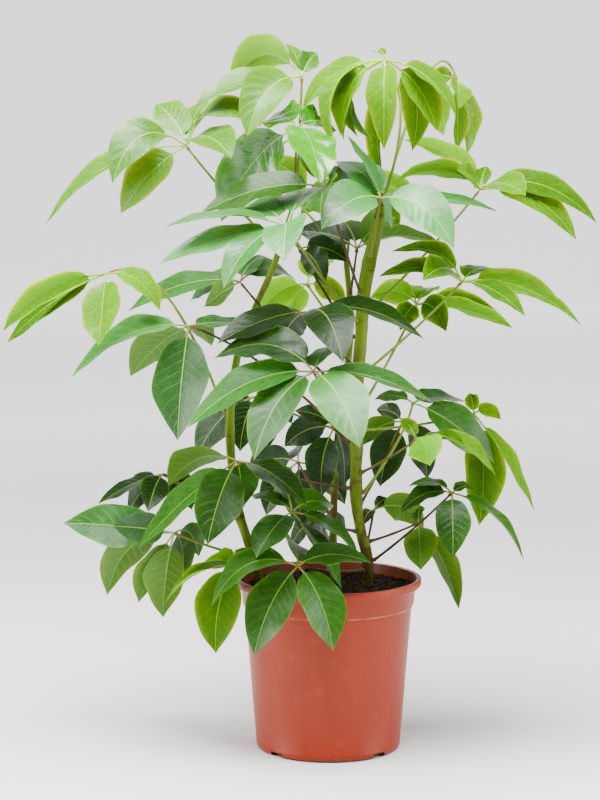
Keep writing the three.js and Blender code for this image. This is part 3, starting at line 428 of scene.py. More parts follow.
def cut_away(piece, cutters):
    """Takes the cutters' boxes out of a piece and keeps the result as its mesh."""
    mesh = bpy.data.meshes.new("cutters")
    cutters.to_mesh(mesh)
    cutters.free()
    knife = bpy.data.objects.new("cutters", mesh)
    bpy.context.scene.collection.objects.link(knife)
    modifier = piece.modifiers.new("cut", "BOOLEAN")
    modifier.object = knife
    modifier.operation = "DIFFERENCE"
    modifier.solver = "EXACT"
    graph = bpy.context.evaluated_depsgraph_get()
    carved = bpy.data.meshes.new_from_object(piece.evaluated_get(graph))
    piece.modifiers.clear()
    piece.data = carved
    bpy.data.objects.remove(knife)


print("pot outline:", len(POT_OUTLINE), "points,", NOTCH_COUNT, "notches")

# %% Spin the pot and cut its notches
bm = bmesh.new()
outline = [bm.verts.new((radius * MM, 0, height * MM)) for radius, height in POT_OUTLINE]
edges = [bm.edges.new(pair) for pair in zip(outline, outline[1:])]
bmesh.ops.spin(
    bm, geom=outline + edges, cent=(0, 0, 0), axis=(0, 0, 1), angle=2 * math.pi,
    steps=POT_TURNS, use_merge=True, use_duplicate=False,
)
bmesh.ops.remove_doubles(bm, verts=bm.verts, dist=1e-6)
pot = finish_piece("nursery_pot", bm, [POT_PLASTIC], "pot")
cutters = bmesh.new()
for count in range(NOTCH_COUNT):
    box_at(cutters, FRONT + NOTCH_TURN + 360 / NOTCH_COUNT * count, NOTCH_RADIUS, 0, NOTCH_SIZE)
box_at(cutters, FRONT + SLOT_TURN, SLOT_RADIUS, SLOT_HEIGHT, SLOT_SIZE)
cut_away(pot, cutters)
pot.data.set_sharp_from_angle(angle=math.radians(SHARP_PAST))
print("pot faces", len(pot.data.polygons))

# %% [markdown]
# ## Peat
# Potting peat is nearly black where it is moist, with lighter fibres and grit. Noise makes the
# clods and the fibres, and a cell pattern scatters the grit. Only a trace of shine is left on it.
# %% Peat finish
def peat_finish():
    finish = Finish("moist_peat")
    clods = finish.grain(55.0, 8.0, roughness=0.7)
    fibre = finish.step(finish.grain(160.0, 5.0, at=finish.stretch((1.0, 2.6, 1.0))), 0.6, 0.74)
    grit = finish.step(finish.cells(260.0), 0.08, 0.2, 1.0, 0.0)
    body = finish.mix(colour(16, 10, 5), colour(52, 33, 18), finish.step(clods, 0.38, 0.72))
    body = finish.mix(body, colour(104, 72, 42), fibre * 0.5)
    body = finish.mix(body, colour(120, 98, 72), grit * 0.2)
    return finish.surface(body, 0.8 + clods * 0.2, clods + fibre * 0.3, depth=0.0016, Specular_IOR_Level=0.12)


PEAT = peat_finish()
print("made", PEAT.name)

# %% [markdown]
# ## The peat's surface
# The peat is a grid rolled up round the axis, and its top is lifted by noise of three sizes. An
# outline gives the radius and the fall at each share of the way from the middle of the top to
# the middle of the underside. Loose crumbs lie on it, each a tiny ball of a few faces, squashed
# and dented. Their places are drawn with a fixed seed, so the pot looks the same each time.
# %% The peat body and its crumbs
SOIL_TOP = 217.0
SOIL_OUTLINE = [
    (0.0, 0.0, 0.0), (0.74, 113.2, 0.0), (0.78, 112.8, -6.0), (0.82, 111.0, -19.0), (0.85, 108.2, -27.0),
    (0.94, 91.2, -208.0), (0.96, 89.4, -213.6), (1.0, 0.0, -213.6),
]
BUMPS_END = 14
SOIL_AROUND, SOIL_ALONG = 110, 70
CRUMBS = 900
CRUMB_REACH = 110.0
CRUMB_SIZES = (0.9, 1.2, 1.4, 1.8, 2.4, 3.2)
crumb_luck = random.Random(41)


def soil_height(x, y):
    """The bumps of the peat's surface, a few millimetres up and down."""
    slow = noise.noise(Vector((x * 0.03, y * 0.03, 4.2)))
    quick = noise.noise(Vector((x * 0.13, y * 0.13, 9.1)))
    fine = noise.noise(Vector((x * 0.42, y * 0.42, 1.7)))
    return SOIL_TOP + 2.4 * slow + 1.3 * quick + 0.6 * fine


def soil_skin(turn, run):
    runs, radii, falls = zip(*SOIL_OUTLINE)
    radius = np.interp(run, runs, radii)
    fall = np.interp(run, runs, falls)
    angle = turn * 2 * math.pi
    x, y = radius * np.cos(angle), radius * np.sin(angle)
    top = np.array([soil_height(a, b) for a, b in zip(x, y)])
    share = np.clip(1 + fall / BUMPS_END, 0, 1)
    z = np.where(fall < -BUMPS_END, SOIL_TOP + fall, SOIL_TOP + (top - SOIL_TOP) * share + fall)
    return np.stack([x, y, z], axis=-1), {}


bm = bmesh.new()
rolled_grid(bm, SOIL_AROUND, SOIL_ALONG, soil_skin)
for _ in range(CRUMBS):
    radius = CRUMB_REACH * math.sqrt(crumb_luck.random())
    angle = crumb_luck.uniform(0, 2 * math.pi)
    x, y = radius * math.cos(angle), radius * math.sin(angle)
    size = crumb_luck.choice(CRUMB_SIZES)
    made = bmesh.ops.create_icosphere(bm, subdivisions=1, radius=size * MM)
    lift = soil_height(x, y) + size * 0.25
    for vert in made["verts"]:
        dent = 1 + 0.5 * noise.noise(vert.co * 900 + Vector((x, y, 0)))
        vert.co = Vector((vert.co.x * dent, vert.co.y * dent, vert.co.z * dent * 0.7))
        vert.co += Vector((x, y, lift)) * MM
soil = finish_piece("peat", bm, [PEAT], "soil")
peat_top = max(vert.co.z for vert in soil.data.vertices)
print("peat faces", len(soil.data.polygons), "top", round(peat_top, 4))

# %% [markdown]
# ## Bark
# The stems are green bark that corks over in brown patches, more so near the foot. Each point of
# the mesh will keep two numbers, how strongly it is scarred and how near the foot it is, and the
# finish reads both. The streaks are noise stretched along the height, the pores are cells.
# %% Bark
def bark_finish():
    finish = Finish("green_bark")
    scar = finish.read("scar")
    foot = finish.read("foot")
    patches = finish.grain(26.0, 7.0, at=finish.stretch((1.0, 1.0, 0.42)), roughness=0.62)
    cork = finish.step(patches + foot * 0.12 + scar * 0.16, 0.525, 0.62)
    streak = finish.grain(90.0, 5.0, at=finish.stretch((1.0, 1.0, 0.12)))
    pores = finish.step(finish.cells(330.0, at=finish.stretch((1.0, 1.0, 0.6))), 0.06, 0.2, 1.0, 0.0)
    green = finish.mix(colour(46, 68, 0), colour(104, 130, 2), streak)
    brown = finish.mix(colour(48, 34, 8), colour(86, 66, 24), streak)
    body = finish.mix(green, brown, cork * 0.88)
    body = finish.mix(body, colour(52, 40, 12), scar * 0.4)
    body = finish.mix(body, colour(112, 108, 56), pores * 0.3)
    relief = streak * 0.5 + cork * 0.5 + pores * 0.5
    return finish.surface(body, 0.46 + cork * 0.28, relief, depth=0.0006, Specular_IOR_Level=0.16)


BARK = bark_finish()
print("made", BARK.name)

# %% [markdown]
# ## Where the stems run
# A grown stem bends a little at each old leaf, and its thickness changes there too. So its line
# is a list of bends, from the peat upwards: a place in the photograph, a depth and a radius.
# %% The bends of the three stems
Bend = namedtuple("Bend", "across down depth radius")
STEMS = {
    "main": [
        Bend(368, 592, 22, 6.6),
        Bend(367, 557, 18, 7.6),
        Bend(361, 533, 16, 7.0),
        Bend(357, 508, 14, 7.4),
        Bend(356, 490, 12, 8.8),
        Bend(356, 470, 10, 7.8),
        Bend(356, 445, 6, 8.8),
        Bend(357, 400, 2, 7.4),
        Bend(358, 370, 0, 8.4),
        Bend(361, 335, -2, 8.2),
        Bend(363, 300, 0, 8.8),
        Bend(369, 262, 4, 9.2),
        Bend(378, 225, 6, 7.6),
        Bend(383, 200, 6, 5.4),
    ],
    "left": [
        Bend(262, 590, 10, 6.4),
        Bend(252, 555, 6, 6.6),
        Bend(244, 530, 2, 6.2),
        Bend(237, 508, -4, 7.2),
        Bend(232, 470, -10, 5.6),
        Bend(230, 440, -14, 6.2),
        Bend(231, 405, -16, 5.4),
        Bend(240, 345, -14, 4.8),
        Bend(256, 306, -10, 4.2),
        Bend(272, 270, -8, 4.4),
        Bend(287, 225, -6, 3.4),
        Bend(297, 194, -4, 2.8),
    ],
    "back": [
        Bend(334, 588, 66, 5.4),
        Bend(333, 545, 62, 5.6),
        Bend(334, 500, 60, 5.0),
        Bend(336, 455, 60, 5.4),
        Bend(343, 400, 62, 4.6),
        Bend(349, 350, 64, 4.8),
        Bend(350, 305, 66, 4.2),
        Bend(347, 270, 70, 3.8),
        Bend(343, 240, 76, 2.8),
    ],
}
STEM_DEPTH_IN_SOIL = 70.0


def stem_points(stem):
    """The middle line of a stem from its end in the peat upwards, and its radius at each point."""
    seen = [spot(bend.across, bend.down, bend.depth) for bend in stem]
    lean = unit(seen[1] - seen[0])
    foot = seen[0] - lean * (seen[0][2] - SOIL_TOP + STEM_DEPTH_IN_SOIL) / lean[2]
    return np.array([foot, *seen]), np.array([stem[0].radius, *[bend.radius for bend in stem]])


def on_stem(name, row):
    """The point on a stem's middle line that lies in a given row of the photograph."""
    for low, high in zip(STEMS[name], STEMS[name][1:]):
        if high.down <= row <= low.down:
            share = (low.down - row) / (low.down - high.down)
            across = low.across + (high.across - low.across) * share
            depth = low.depth + (high.depth - low.depth) * share
            return spot(across, row, depth)
    raise ValueError(f"no row {row} on stem {name}")


print("stems:", {name: len(line) for name, line in STEMS.items()})

# %% [markdown]
# ## The leaves, one by one
# This list is the plant's own plan, read off the photograph. A leaf has the stem and the row it
# grows from, its hub, how far its leaflets reach and how wide they are, in millimetres, and its
# tone. A leaflet has its tip's place in the picture, the width that shows there, its lean to the
# viewer, its arch and the face that it shows. Some stalks go by way of one more point, and
# `stalks` is the share of a leaflet that is its own little stalk.
# %% The plan of the leaves
TOP, UNDER = 1, -1
Hub = namedtuple("Hub", "across down depth")
Leaflet = namedtuple("Leaflet", "across down seen lean arch face", defaults=[TOP])
Leaf = namedtuple("Leaf", "name stem hub reach wide tone leaflets via stalks", defaults=[None, 0.15])
LEAVES = [
    Leaf("leaf_centre_front", ("main", 445), Hub(314, 372, -170), 178, 68, "middle", [
        Leaflet(187.5, 428, 32, 0.1, 0.12),
        Leaflet(254, 461, 42, 0.5, 0.14),
        Leaflet(360, 449, 52, 0.7, 0.12),
        Leaflet(434, 403, 16, 0.1, 0.08),
        Leaflet(213, 359, 34, -0.5, 0.19),
        Leaflet(332, 346, 21, -0.5, 0.1),
    ], stalks=0.1),
    Leaf("leaf_high_left", ("main", 326), Hub(287, 227, -150), 172, 60, "middle", [
        Leaflet(163, 228, 9, 0, 0.1),
        Leaflet(158.5, 264, 21, 0.1, 0.05),
        Leaflet(223, 289.5, 25, 0.5, 0.14),
        Leaflet(284, 261, 42, 0.7, 0.16),
        Leaflet(325, 188, 24, -0.6, 0.12),
        Leaflet(232, 214, 24, -0.8, 0.12),
    ], stalks=0.17),
    Leaf("leaf_mid_front", ("main", 370), Hub(308, 312, -90), 158, 64, "dark", [
        Leaflet(217, 344, 26, 0.2, 0.07),
        Leaflet(343, 363, 46, 0.8, 0.2),
        Leaflet(425, 340, 18, 0, 0.13),
        Leaflet(282, 340, 36, -0.5, 0.1),
    ]),
    Leaf("leaf_rim_front", ("main", 570), Hub(298, 566, -125), 138, 62, "dark", [
        Leaflet(254, 656, 46, 0.5, 0.08),
        Leaflet(333, 651, 44, 0.5, 0.1),
        Leaflet(211.5, 606, 26, 0.3, 0.24),
        Leaflet(371, 563, 22, 0.1, 0.14),
        Leaflet(293, 542, 22, -0.7, 0.12),
    ], stalks=0.1),
    Leaf("leaf_left_hanging", ("main", 449), Hub(189, 326, -60), 162, 76, "dark", [
        Leaflet(177.5, 441, 54, 0.4, 0.03),
        Leaflet(70, 379, 20, 0, 0.13),
        Leaflet(130, 377, 34, -0.3, 0.14, UNDER),
        Leaflet(256, 326, 12, -0.2, 0.05),
        Leaflet(212, 346, 18, -0.6, 0.1, UNDER),
    ], via=Hub(268, 352, -60), stalks=0.1),
    Leaf("leaf_low_left_front", ("main", 489), Hub(237, 461, -80), 156, 68, "dark", [
        Leaflet(207.5, 545, 52, 0.6, 0.08),
        Leaflet(137.5, 549, 25, 0.3, 0.04),
        Leaflet(306, 506, 24, 0.5, 0.1),
        Leaflet(168, 487, 26, -0.5, 0.18, UNDER),
        Leaflet(243, 508, 38, -0.6, 0.1),
    ]),
    Leaf("leaf_high_front", ("main", 264), Hub(381, 198, -60), 152, 64, "middle", [
        Leaflet(321, 230, 40, 0.6, 0.14),
        Leaflet(454, 249, 40, 0.4, 0.18),
        Leaflet(499.5, 212, 14, 0, 0.05),
        Leaflet(336, 161, 26, -0.6, 0.1),
        Leaflet(347, 135, 11, -0.4, 0.04),
        Leaflet(392, 229, 10, -0.3, 0.1),
    ], stalks=0.08),
    Leaf("leaf_high_centre", ("main", 300), Hub(326, 187, -100), 172, 58, "dark", [
        Leaflet(200, 214, 26, 0, 0.09),
        Leaflet(368, 186, 30, -0.7, 0.1),
        Leaflet(320, 214, 22, 0.6, 0.1),
        Leaflet(300, 150, 26, -0.8, 0.1),
    ]),
    Leaf("leaf_top_glossy", ("left", 204), Hub(297, 127, -60), 156, 76, "middle", [
        Leaflet(221, 222, 58, 0.3, 0.1),
        Leaflet(321, 185, 42, 0.8, 0.14),
        Leaflet(262, 124, 26, -0.7, 0.1),
        Leaflet(337, 131, 22, -0.7, 0.12),
    ]),
    Leaf("leaf_low_middle", ("main", 532), Hub(292, 512, -60), 136, 56, "dark", [
        Leaflet(256, 558, 32, 0.7, 0.08),
        Leaflet(359, 555, 15, 0, 0.1),
        Leaflet(342, 590, 15, 0.9, 0.05),
        Leaflet(251, 495, 18, -0.5, 0.1),
        Leaflet(275, 486, 26, -0.9, 0.1),
        Leaflet(334, 506, 26, -0.7, 0.12),
    ]),
    Leaf("leaf_rim_left", ("left", 570), Hub(236, 565, -60), 126, 62, "fresh", [
        Leaflet(216, 654, 46, 0.3, 0.09),
        Leaflet(164, 604, 7, 0.1, 0.14),
        Leaflet(204, 562, 24, -0.5, 0.06),
        Leaflet(262, 552, 18, -0.5, 0.1),
    ], stalks=0.1),
    Leaf("leaf_far_left", ("left", 430), Hub(106, 274, -40), 152, 58, "fresh", [
        Leaflet(2, 332, 24, -0.1, 0.1, UNDER),
        Leaflet(6, 344, 26, 0.3, 0.11),
        Leaflet(99, 346, 38, 0.7, 0.03),
        Leaflet(160, 311, 22, 0.2, 0.19),
    ], via=Hub(166, 240, -28)),
    Leaf("leaf_top_left", ("left", 250), Hub(186, 146, 20), 168, 62, "fresh", [
        Leaflet(44, 227, 16, 0, 0.13),
        Leaflet(120.5, 214, 36, 0.2, 0.07),
        Leaflet(112, 184, 36, 0.5, 0.32),
        Leaflet(156, 104, 36, -0.4, 0.1),
        Leaflet(207, 98, 20, -0.4, 0.1),
        Leaflet(262, 127, 16, 0.2, 0.3),
        Leaflet(232, 159, 26, 0.8, 0.14),
    ], stalks=0.18),
    Leaf("leaf_top_middle", ("left", 194), Hub(302, 77, -4), 150, 60, "young", [
        Leaflet(247, 138, 42, 0.6, 0.2),
        Leaflet(229, 89, 36, -0.4, 0.34, UNDER),
        Leaflet(191, 112, 18, 0.1, 0.1),
        Leaflet(287, 43, 16, -0.3, 0.08),
        Leaflet(317, 53, 26, -0.4, 0.1),
    ]),
    Leaf("leaf_crown", ("main", 204), Hub(385, 60, -20), 136, 44, "young", [
        Leaflet(384, 150.5, 31, 0.8, 0.34),
        Leaflet(302, 113, 18, 0.1, 0.15),
        Leaflet(341, 137, 20, 0.5, 0.2),
        Leaflet(336, 156, 13, -0.4, 0.32),
        Leaflet(373, 141, 14, 0.3, 0.38),
        Leaflet(456, 117, 15, 0.2, 0.14),
        Leaflet(437, 132, 29, 0.5, 0.12),
        Leaflet(412, 152, 34, -0.6, 0.26),
        Leaflet(344, 141, 20, -0.6, 0.24),
        Leaflet(383, 186, 15, -0.3, 0.3),
        Leaflet(358, 138, 20, -0.2, 0.3),
        Leaflet(372, 52, 7, -0.1, 0.3),
    ], via=Hub(419, 100, -200), stalks=0.22),
    Leaf("leaf_crown_right", ("main", 214), Hub(457, 81, 100), 112, 38, "young", [
        Leaflet(459, 109, 18, 0.6, 0.14),
        Leaflet(431, 78, 20, -0.3, 0.12),
        Leaflet(457, 152, 16, 0.4, 0.2),
        Leaflet(466, 156, 17, -0.5, 0.2),
        Leaflet(444, 136, 26, -0.2, 0.26),
    ], via=Hub(437, 4, 60), stalks=0.22),
    Leaf("leaf_high_right", ("main", 319), Hub(480, 190, 20), 166, 50, "fresh", [
        Leaflet(598, 225, 24, 0, 0.18),
        Leaflet(577, 241, 26, 0.3, 0.16),
        Leaflet(526, 196, 20, 0.6, 0.12),
        Leaflet(403, 140, 20, -0.3, 0.14),
        Leaflet(394, 182, 19, -0.1, 0.37, UNDER),
        Leaflet(457, 170, 14, 0.3, 0.1),
        Leaflet(487, 166, 18, -0.2, 0.1),
    ]),
    Leaf("leaf_mid_left", ("main", 405), Hub(240, 282, -20), 158, 52, "middle", [
        Leaflet(127, 312, 21, 0, 0.1),
        Leaflet(297, 281, 22, -0.5, 0.14),
        Leaflet(204, 307, 20, 0.2, 0.04, UNDER),
        Leaflet(190, 302, 20, -0.4, 0.14),
        Leaflet(262, 256, 20, -0.8, 0.1),
    ]),
    Leaf("leaf_mid_right", ("main", 378), Hub(462, 282, -20), 164, 44, "fresh", [
        Leaflet(422.5, 281, 21, 0.6, 0.16),
        Leaflet(390, 252, 16, -0.1, 0.22),
        Leaflet(525.5, 317, 16, 0.5, 0.1),
        Leaflet(582, 326, 16, 0, 0.12),
        Leaflet(562, 303, 26, -0.3, 0.09),
        Leaflet(378, 277, 18, -0.5, 0.14),
        Leaflet(490, 268, 16, -0.3, 0.1),
    ]),
    Leaf("leaf_low_right", ("main", 565), Hub(452, 493, -30), 116, 56, "dark", [
        Leaflet(453, 558, 38, 0.6, 0.1),
        Leaflet(400, 513, 18, 0.1, 0.16),
        Leaflet(407.5, 487, 9, -0.1, 0.18),
        Leaflet(524, 561, 10, 0.1, 0.13),
        Leaflet(474, 486, 10, -0.2, 0.1),
    ], stalks=0.12),
    Leaf("leaf_right_red_hub", ("main", 475), Hub(416, 440, -50), 132, 54, "fresh", [
        Leaflet(496, 476, 14, 0.1, 0.18),
        Leaflet(430, 466, 42, 0.75, 0.14, UNDER),
        Leaflet(401, 418, 15, -0.2, 0.1),
        Leaflet(466, 446, 9, 0.2, 0.14),
    ]),
    Leaf("leaf_right_yellow_stalk", ("main", 502), Hub(413, 403, 24), 134, 60, "dark", [
        Leaflet(495, 464, 36, 0.2, 0.07),
        Leaflet(374, 400, 12, -0.1, 0.14),
        Leaflet(447, 398, 16, -0.5, 0.06),
        Leaflet(465, 401, 14, -0.5, 0.06),
    ], via=Hub(406, 438, 10)),
    Leaf("leaf_low_left_far", ("left", 558), Hub(174, 533, 0), 122, 60, "middle", [
        Leaflet(63, 523, 44, 0.5, 0.02),
        Leaflet(107, 596, 36, 0.2, 0.2, UNDER),
        Leaflet(138.5, 603, 26, -0.3, 0.04, UNDER),
        Leaflet(163, 618, 40, -0.1, 0.03, UNDER),
        Leaflet(184, 580, 30, -0.5, 0.2),
        Leaflet(112, 526, 40, 0.3, 0.02),
        Leaflet(199, 557, 32, -0.6, 0.24),
    ], stalks=0.18),
    Leaf("leaf_low_left_back", ("left", 515), Hub(163, 474, 20), 116, 46, "dark", [
        Leaflet(97, 505, 13, 0, 0.05),
        Leaflet(148, 512, 30, 0.6, 0.1),
        Leaflet(127, 516, 26, -0.4, 0.08),
        Leaflet(192, 510, 30, -0.4, 0.14),
    ]),
    Leaf("leaf_low_right_inner", ("main", 543), Hub(418, 523, 40), 122, 48, "dark", [
        Leaflet(421, 570.5, 34, 0.7, 0.1, UNDER),
        Leaflet(459, 610, 22, -0.1, 0.07, UNDER),
        Leaflet(420, 506, 12, -0.3, 0.06),
    ]),
    Leaf("leaf_mid_right_back", ("main", 416), Hub(417, 305, 80), 128, 48, "fresh", [
        Leaflet(446.5, 332, 34, 0.5, 0.2),
        Leaflet(497, 311, 15, -0.1, 0.1, UNDER),
        Leaflet(514, 329, 16, 0.1, 0.08, UNDER),
        Leaflet(400, 331, 34, 0.4, 0.14),
        Leaflet(370, 298, 30, -0.3, 0.2, UNDER),
        Leaflet(401, 284, 20, -0.5, 0.12),
        Leaflet(436, 288, 16, -0.5, 0.12),
    ]),
    Leaf("leaf_right_hanging", ("main", 430), Hub(474, 414, 60), 150, 60, "fresh", [
        Leaflet(479, 526, 42, 0.3, 0.06),
        Leaflet(535, 512, 11, 0, 0.03),
        Leaflet(501, 420, 18, 0.1, 0.26),
        Leaflet(470, 393, 18, -0.2, 0.1),
    ]),
    Leaf("leaf_mid_dark", ("main", 452), Hub(334, 428, 24), 104, 48, "dark", [
        Leaflet(322, 498, 34, 0.3, 0.1),
        Leaflet(294, 411, 18, 0, 0.12),
        Leaflet(344, 486, 26, -0.2, 0.1),
        Leaflet(284, 447, 30, -0.3, 0.14),
    ]),
    Leaf("leaf_high_dark", ("back", 300), Hub(357, 249, 40), 134, 56, "dark", [
        Leaflet(441, 244, 14, 0, 0.14, UNDER),
        Leaflet(296, 232, 28, -0.2, 0.1),
        Leaflet(396, 218, 30, -0.5, 0.1, UNDER),
        Leaflet(338, 218, 30, -0.8, 0.1),
    ]),
    Leaf("leaf_high_brown_stalk", ("main", 346), Hub(299, 249, 20), 100, 44, "dark", [
        Leaflet(325, 284, 28, 0.5, 0.14),
        Leaflet(349, 262, 24, 0, 0.14),
        Leaflet(268, 240, 20, -0.8, 0.12),
    ]),
    Leaf("leaf_high_bright_back", ("back", 340), Hub(307, 284, 100), 118, 60, "young", [
        Leaflet(258, 318, 38, 0.1, 0.16, UNDER),
        Leaflet(288, 324, 50, -0.4, 0.14, UNDER),
        Leaflet(346, 304, 38, 0.1, 0.14),
        Leaflet(326, 262, 28, -0.8, 0.1),
    ]),
    Leaf("leaf_right_inner_back", ("main", 510), Hub(403, 422, 96), 106, 56, "dark", [
        Leaflet(380, 487, 40, 0.2, 0.06),
        Leaflet(362, 446, 22, -0.2, 0.16, UNDER),
        Leaflet(427, 480, 30, -0.2, 0.12),
        Leaflet(376, 410, 20, -0.2, 0.14),
    ]),
    Leaf("leaf_low_right_back", ("main", 551), Hub(374, 510, 60), 90, 44, "dark", [
        Leaflet(424, 529, 30, 0.2, 0.22, UNDER),
        Leaflet(363, 526, 14, 0.2, 0.2),
        Leaflet(388, 498, 14, -0.3, 0.1),
    ]),
    Leaf("leaf_back_low_left", ("back", 520), Hub(298, 462, 170), 122, 54, "dark", [
        Leaflet(266, 516, 30, 0.2, 0.1),
        Leaflet(300, 530, 34, -0.5, 0.1),
        Leaflet(345, 505, 30, 0.1, 0.14),
        Leaflet(247, 474, 32, -0.4, 0.14),
        Leaflet(300, 446, 20, -0.9, 0.12),
    ]),
    Leaf("leaf_back_middle", ("back", 430), Hub(258, 396, 180), 128, 58, "dark", [
        Leaflet(214, 430, 30, -0.3, 0.1),
        Leaflet(196, 460, 34, -0.1, 0.12),
        Leaflet(266, 452, 34, -0.5, 0.14),
        Leaflet(240, 452, 36, -0.3, 0.12),
        Leaflet(292, 424, 30, -0.3, 0.14),
        Leaflet(240, 374, 20, -0.9, 0.12),
        Leaflet(280, 376, 20, -0.9, 0.12),
    ]),
    Leaf("leaf_back_high", ("back", 268), Hub(352, 190, 160), 134, 56, "fresh", [
        Leaflet(300, 216, 26, -0.3, 0.14),
        Leaflet(336, 236, 32, -0.6, 0.16),
        Leaflet(398, 232, 32, -0.3, 0.16),
        Leaflet(424, 208, 24, -0.2, 0.16),
        Leaflet(376, 176, 20, -0.9, 0.12),
        Leaflet(332, 176, 20, -0.9, 0.12),
    ]),
    Leaf("leaf_back_high_left", ("back", 252), Hub(268, 166, 120), 128, 54, "fresh", [
        Leaflet(236, 196, 30, -0.4, 0.16),
        Leaflet(270, 216, 30, -0.5, 0.16),
        Leaflet(306, 192, 28, -0.4, 0.16),
        Leaflet(280, 150, 20, -0.9, 0.12),
        Leaflet(248, 152, 20, -0.9, 0.12),
    ]),
    Leaf("leaf_back_low", ("back", 566), Hub(322, 520, 190), 112, 48, "dark", [
        Leaflet(290, 548, 22, -0.5, 0.12),
        Leaflet(320, 560, 24, -0.6, 0.12),
        Leaflet(349, 540, 18, -0.5, 0.12),
        Leaflet(316, 506, 18, -0.9, 0.12),
    ]),
]
print("leaves:", len(LEAVES), "leaflets:", sum(len(leaf.leaflets) for leaf in LEAVES))

# %% [markdown]
# ## Stems as rolled grids
# A stem is a grid rolled into a tube along its line. It swells a little wherever a leaf stalk
# joins or once joined, and a crescent scar lies just below. The tube is never quite round: two
# slow waves run round it, and it closes to a point at both ends.
# %% Roll the stems
STEM_AROUND = 24
RING_STEP = 2.2
FIRST_SCAR, SCAR_STEP = 12, 47.0
SCAR_TILT = 3.5
SCAR_BELOW, SCAR_TALL, SCAR_DEEP = 4.5, 1.4, 0.25
SWELL_TALL, SWELL = 6.0, 0.06
CORKY_FOOT = 300


def stem_piece(name):
    points, radii = stem_points(STEMS[name])
    length = np.linalg.norm(np.diff(points, axis=0), axis=1).sum()
    joints = [on_stem(*leaf.stem)[2] for leaf in LEAVES if leaf.stem[0] == name]
    old = np.arange(SOIL_TOP + FIRST_SCAR, min(joints), SCAR_STEP)
    marks = np.concatenate([joints, old])

    def skin(turn, run):
        run = np.clip(run, 0, 1)
        middle, shares = along_line(points, run)
        side, other = ring_frames(points, run)
        angle = turn * 2 * math.pi
        height = middle[:, 2:3] + SCAR_TILT * np.sin(angle[:, None] + marks)
        near = np.exp(-((height - marks) / SWELL_TALL) ** 2).sum(axis=1).clip(0, 1.2)
        crescent = 0.5 + 0.5 * np.cos(angle[:, None] + 2.4 * marks)
        scar = np.exp(-((height + SCAR_BELOW - marks) / SCAR_TALL) ** 2) * crescent ** 2
        scar = scar.sum(axis=1).clip(0, 1)
        radius = smooth_between(shares, radii, run) * (1 + SWELL * near) - SCAR_DEEP * scar
        wobble = 1 + 0.03 * np.sin(3 * angle + middle[:, 2] * 0.05) + 0.02 * np.sin(5 * angle + 1.0)
        radius = radius * wobble * np.sqrt(np.clip((1 - run) * 60, 0, 1)) * (run > 0)
        ring = side * np.cos(angle)[:, None] + other * np.sin(angle)[:, None]
        foot = np.clip(1 - (middle[:, 2] - SOIL_TOP) / CORKY_FOOT, 0, 1)
        return middle + ring * radius[:, None], {"scar": scar, "foot": foot}

    bm = mesh_with("scar", "foot")
    rolled_grid(bm, STEM_AROUND, int(length / RING_STEP), skin)
    low, high = round(points[0][2]), round(points[-1][2])
    print("stem", name, "from", low, "to", high, "mm with", len(marks), "scars")
    return finish_piece("bark_" + name, bm, [BARK], "stem_" + name)


for name in STEMS:
    stem_piece(name)

# %% [markdown]
# ## Leaf skin
# All leaves share one recipe and differ by tone. The mesh tells the finish where it is: `off` is
# the distance from the midrib in millimetres, `across` and `along` run over the blade, `under`
# marks the lower face, and one more number differs at random from leaflet to leaflet, but where
# a table sets it below zero it paints the leaflet towards a dark green as painted shade. So the
# midrib tapers, the side veins curve to the tip and the lower face is paler and duller. Light
# shines a little through the thin blade, and a clear coat in patches gives the small glints of
# its waxy skin.
# %% The recipe of a leaf finish
VEIN_PAIRS = 9.0
VEIN_SLANT, VEIN_CURVE = 0.15, 0.06
RIB_HALF, RIB_TAPER = 0.82, 0.62
LIGHT_REACH = 0.002
# The dark green that painted shade turns a leaflet towards.
SHADED = colour(5, 32, 0)
REDDISH_STALK = colour(92, 46, 30)


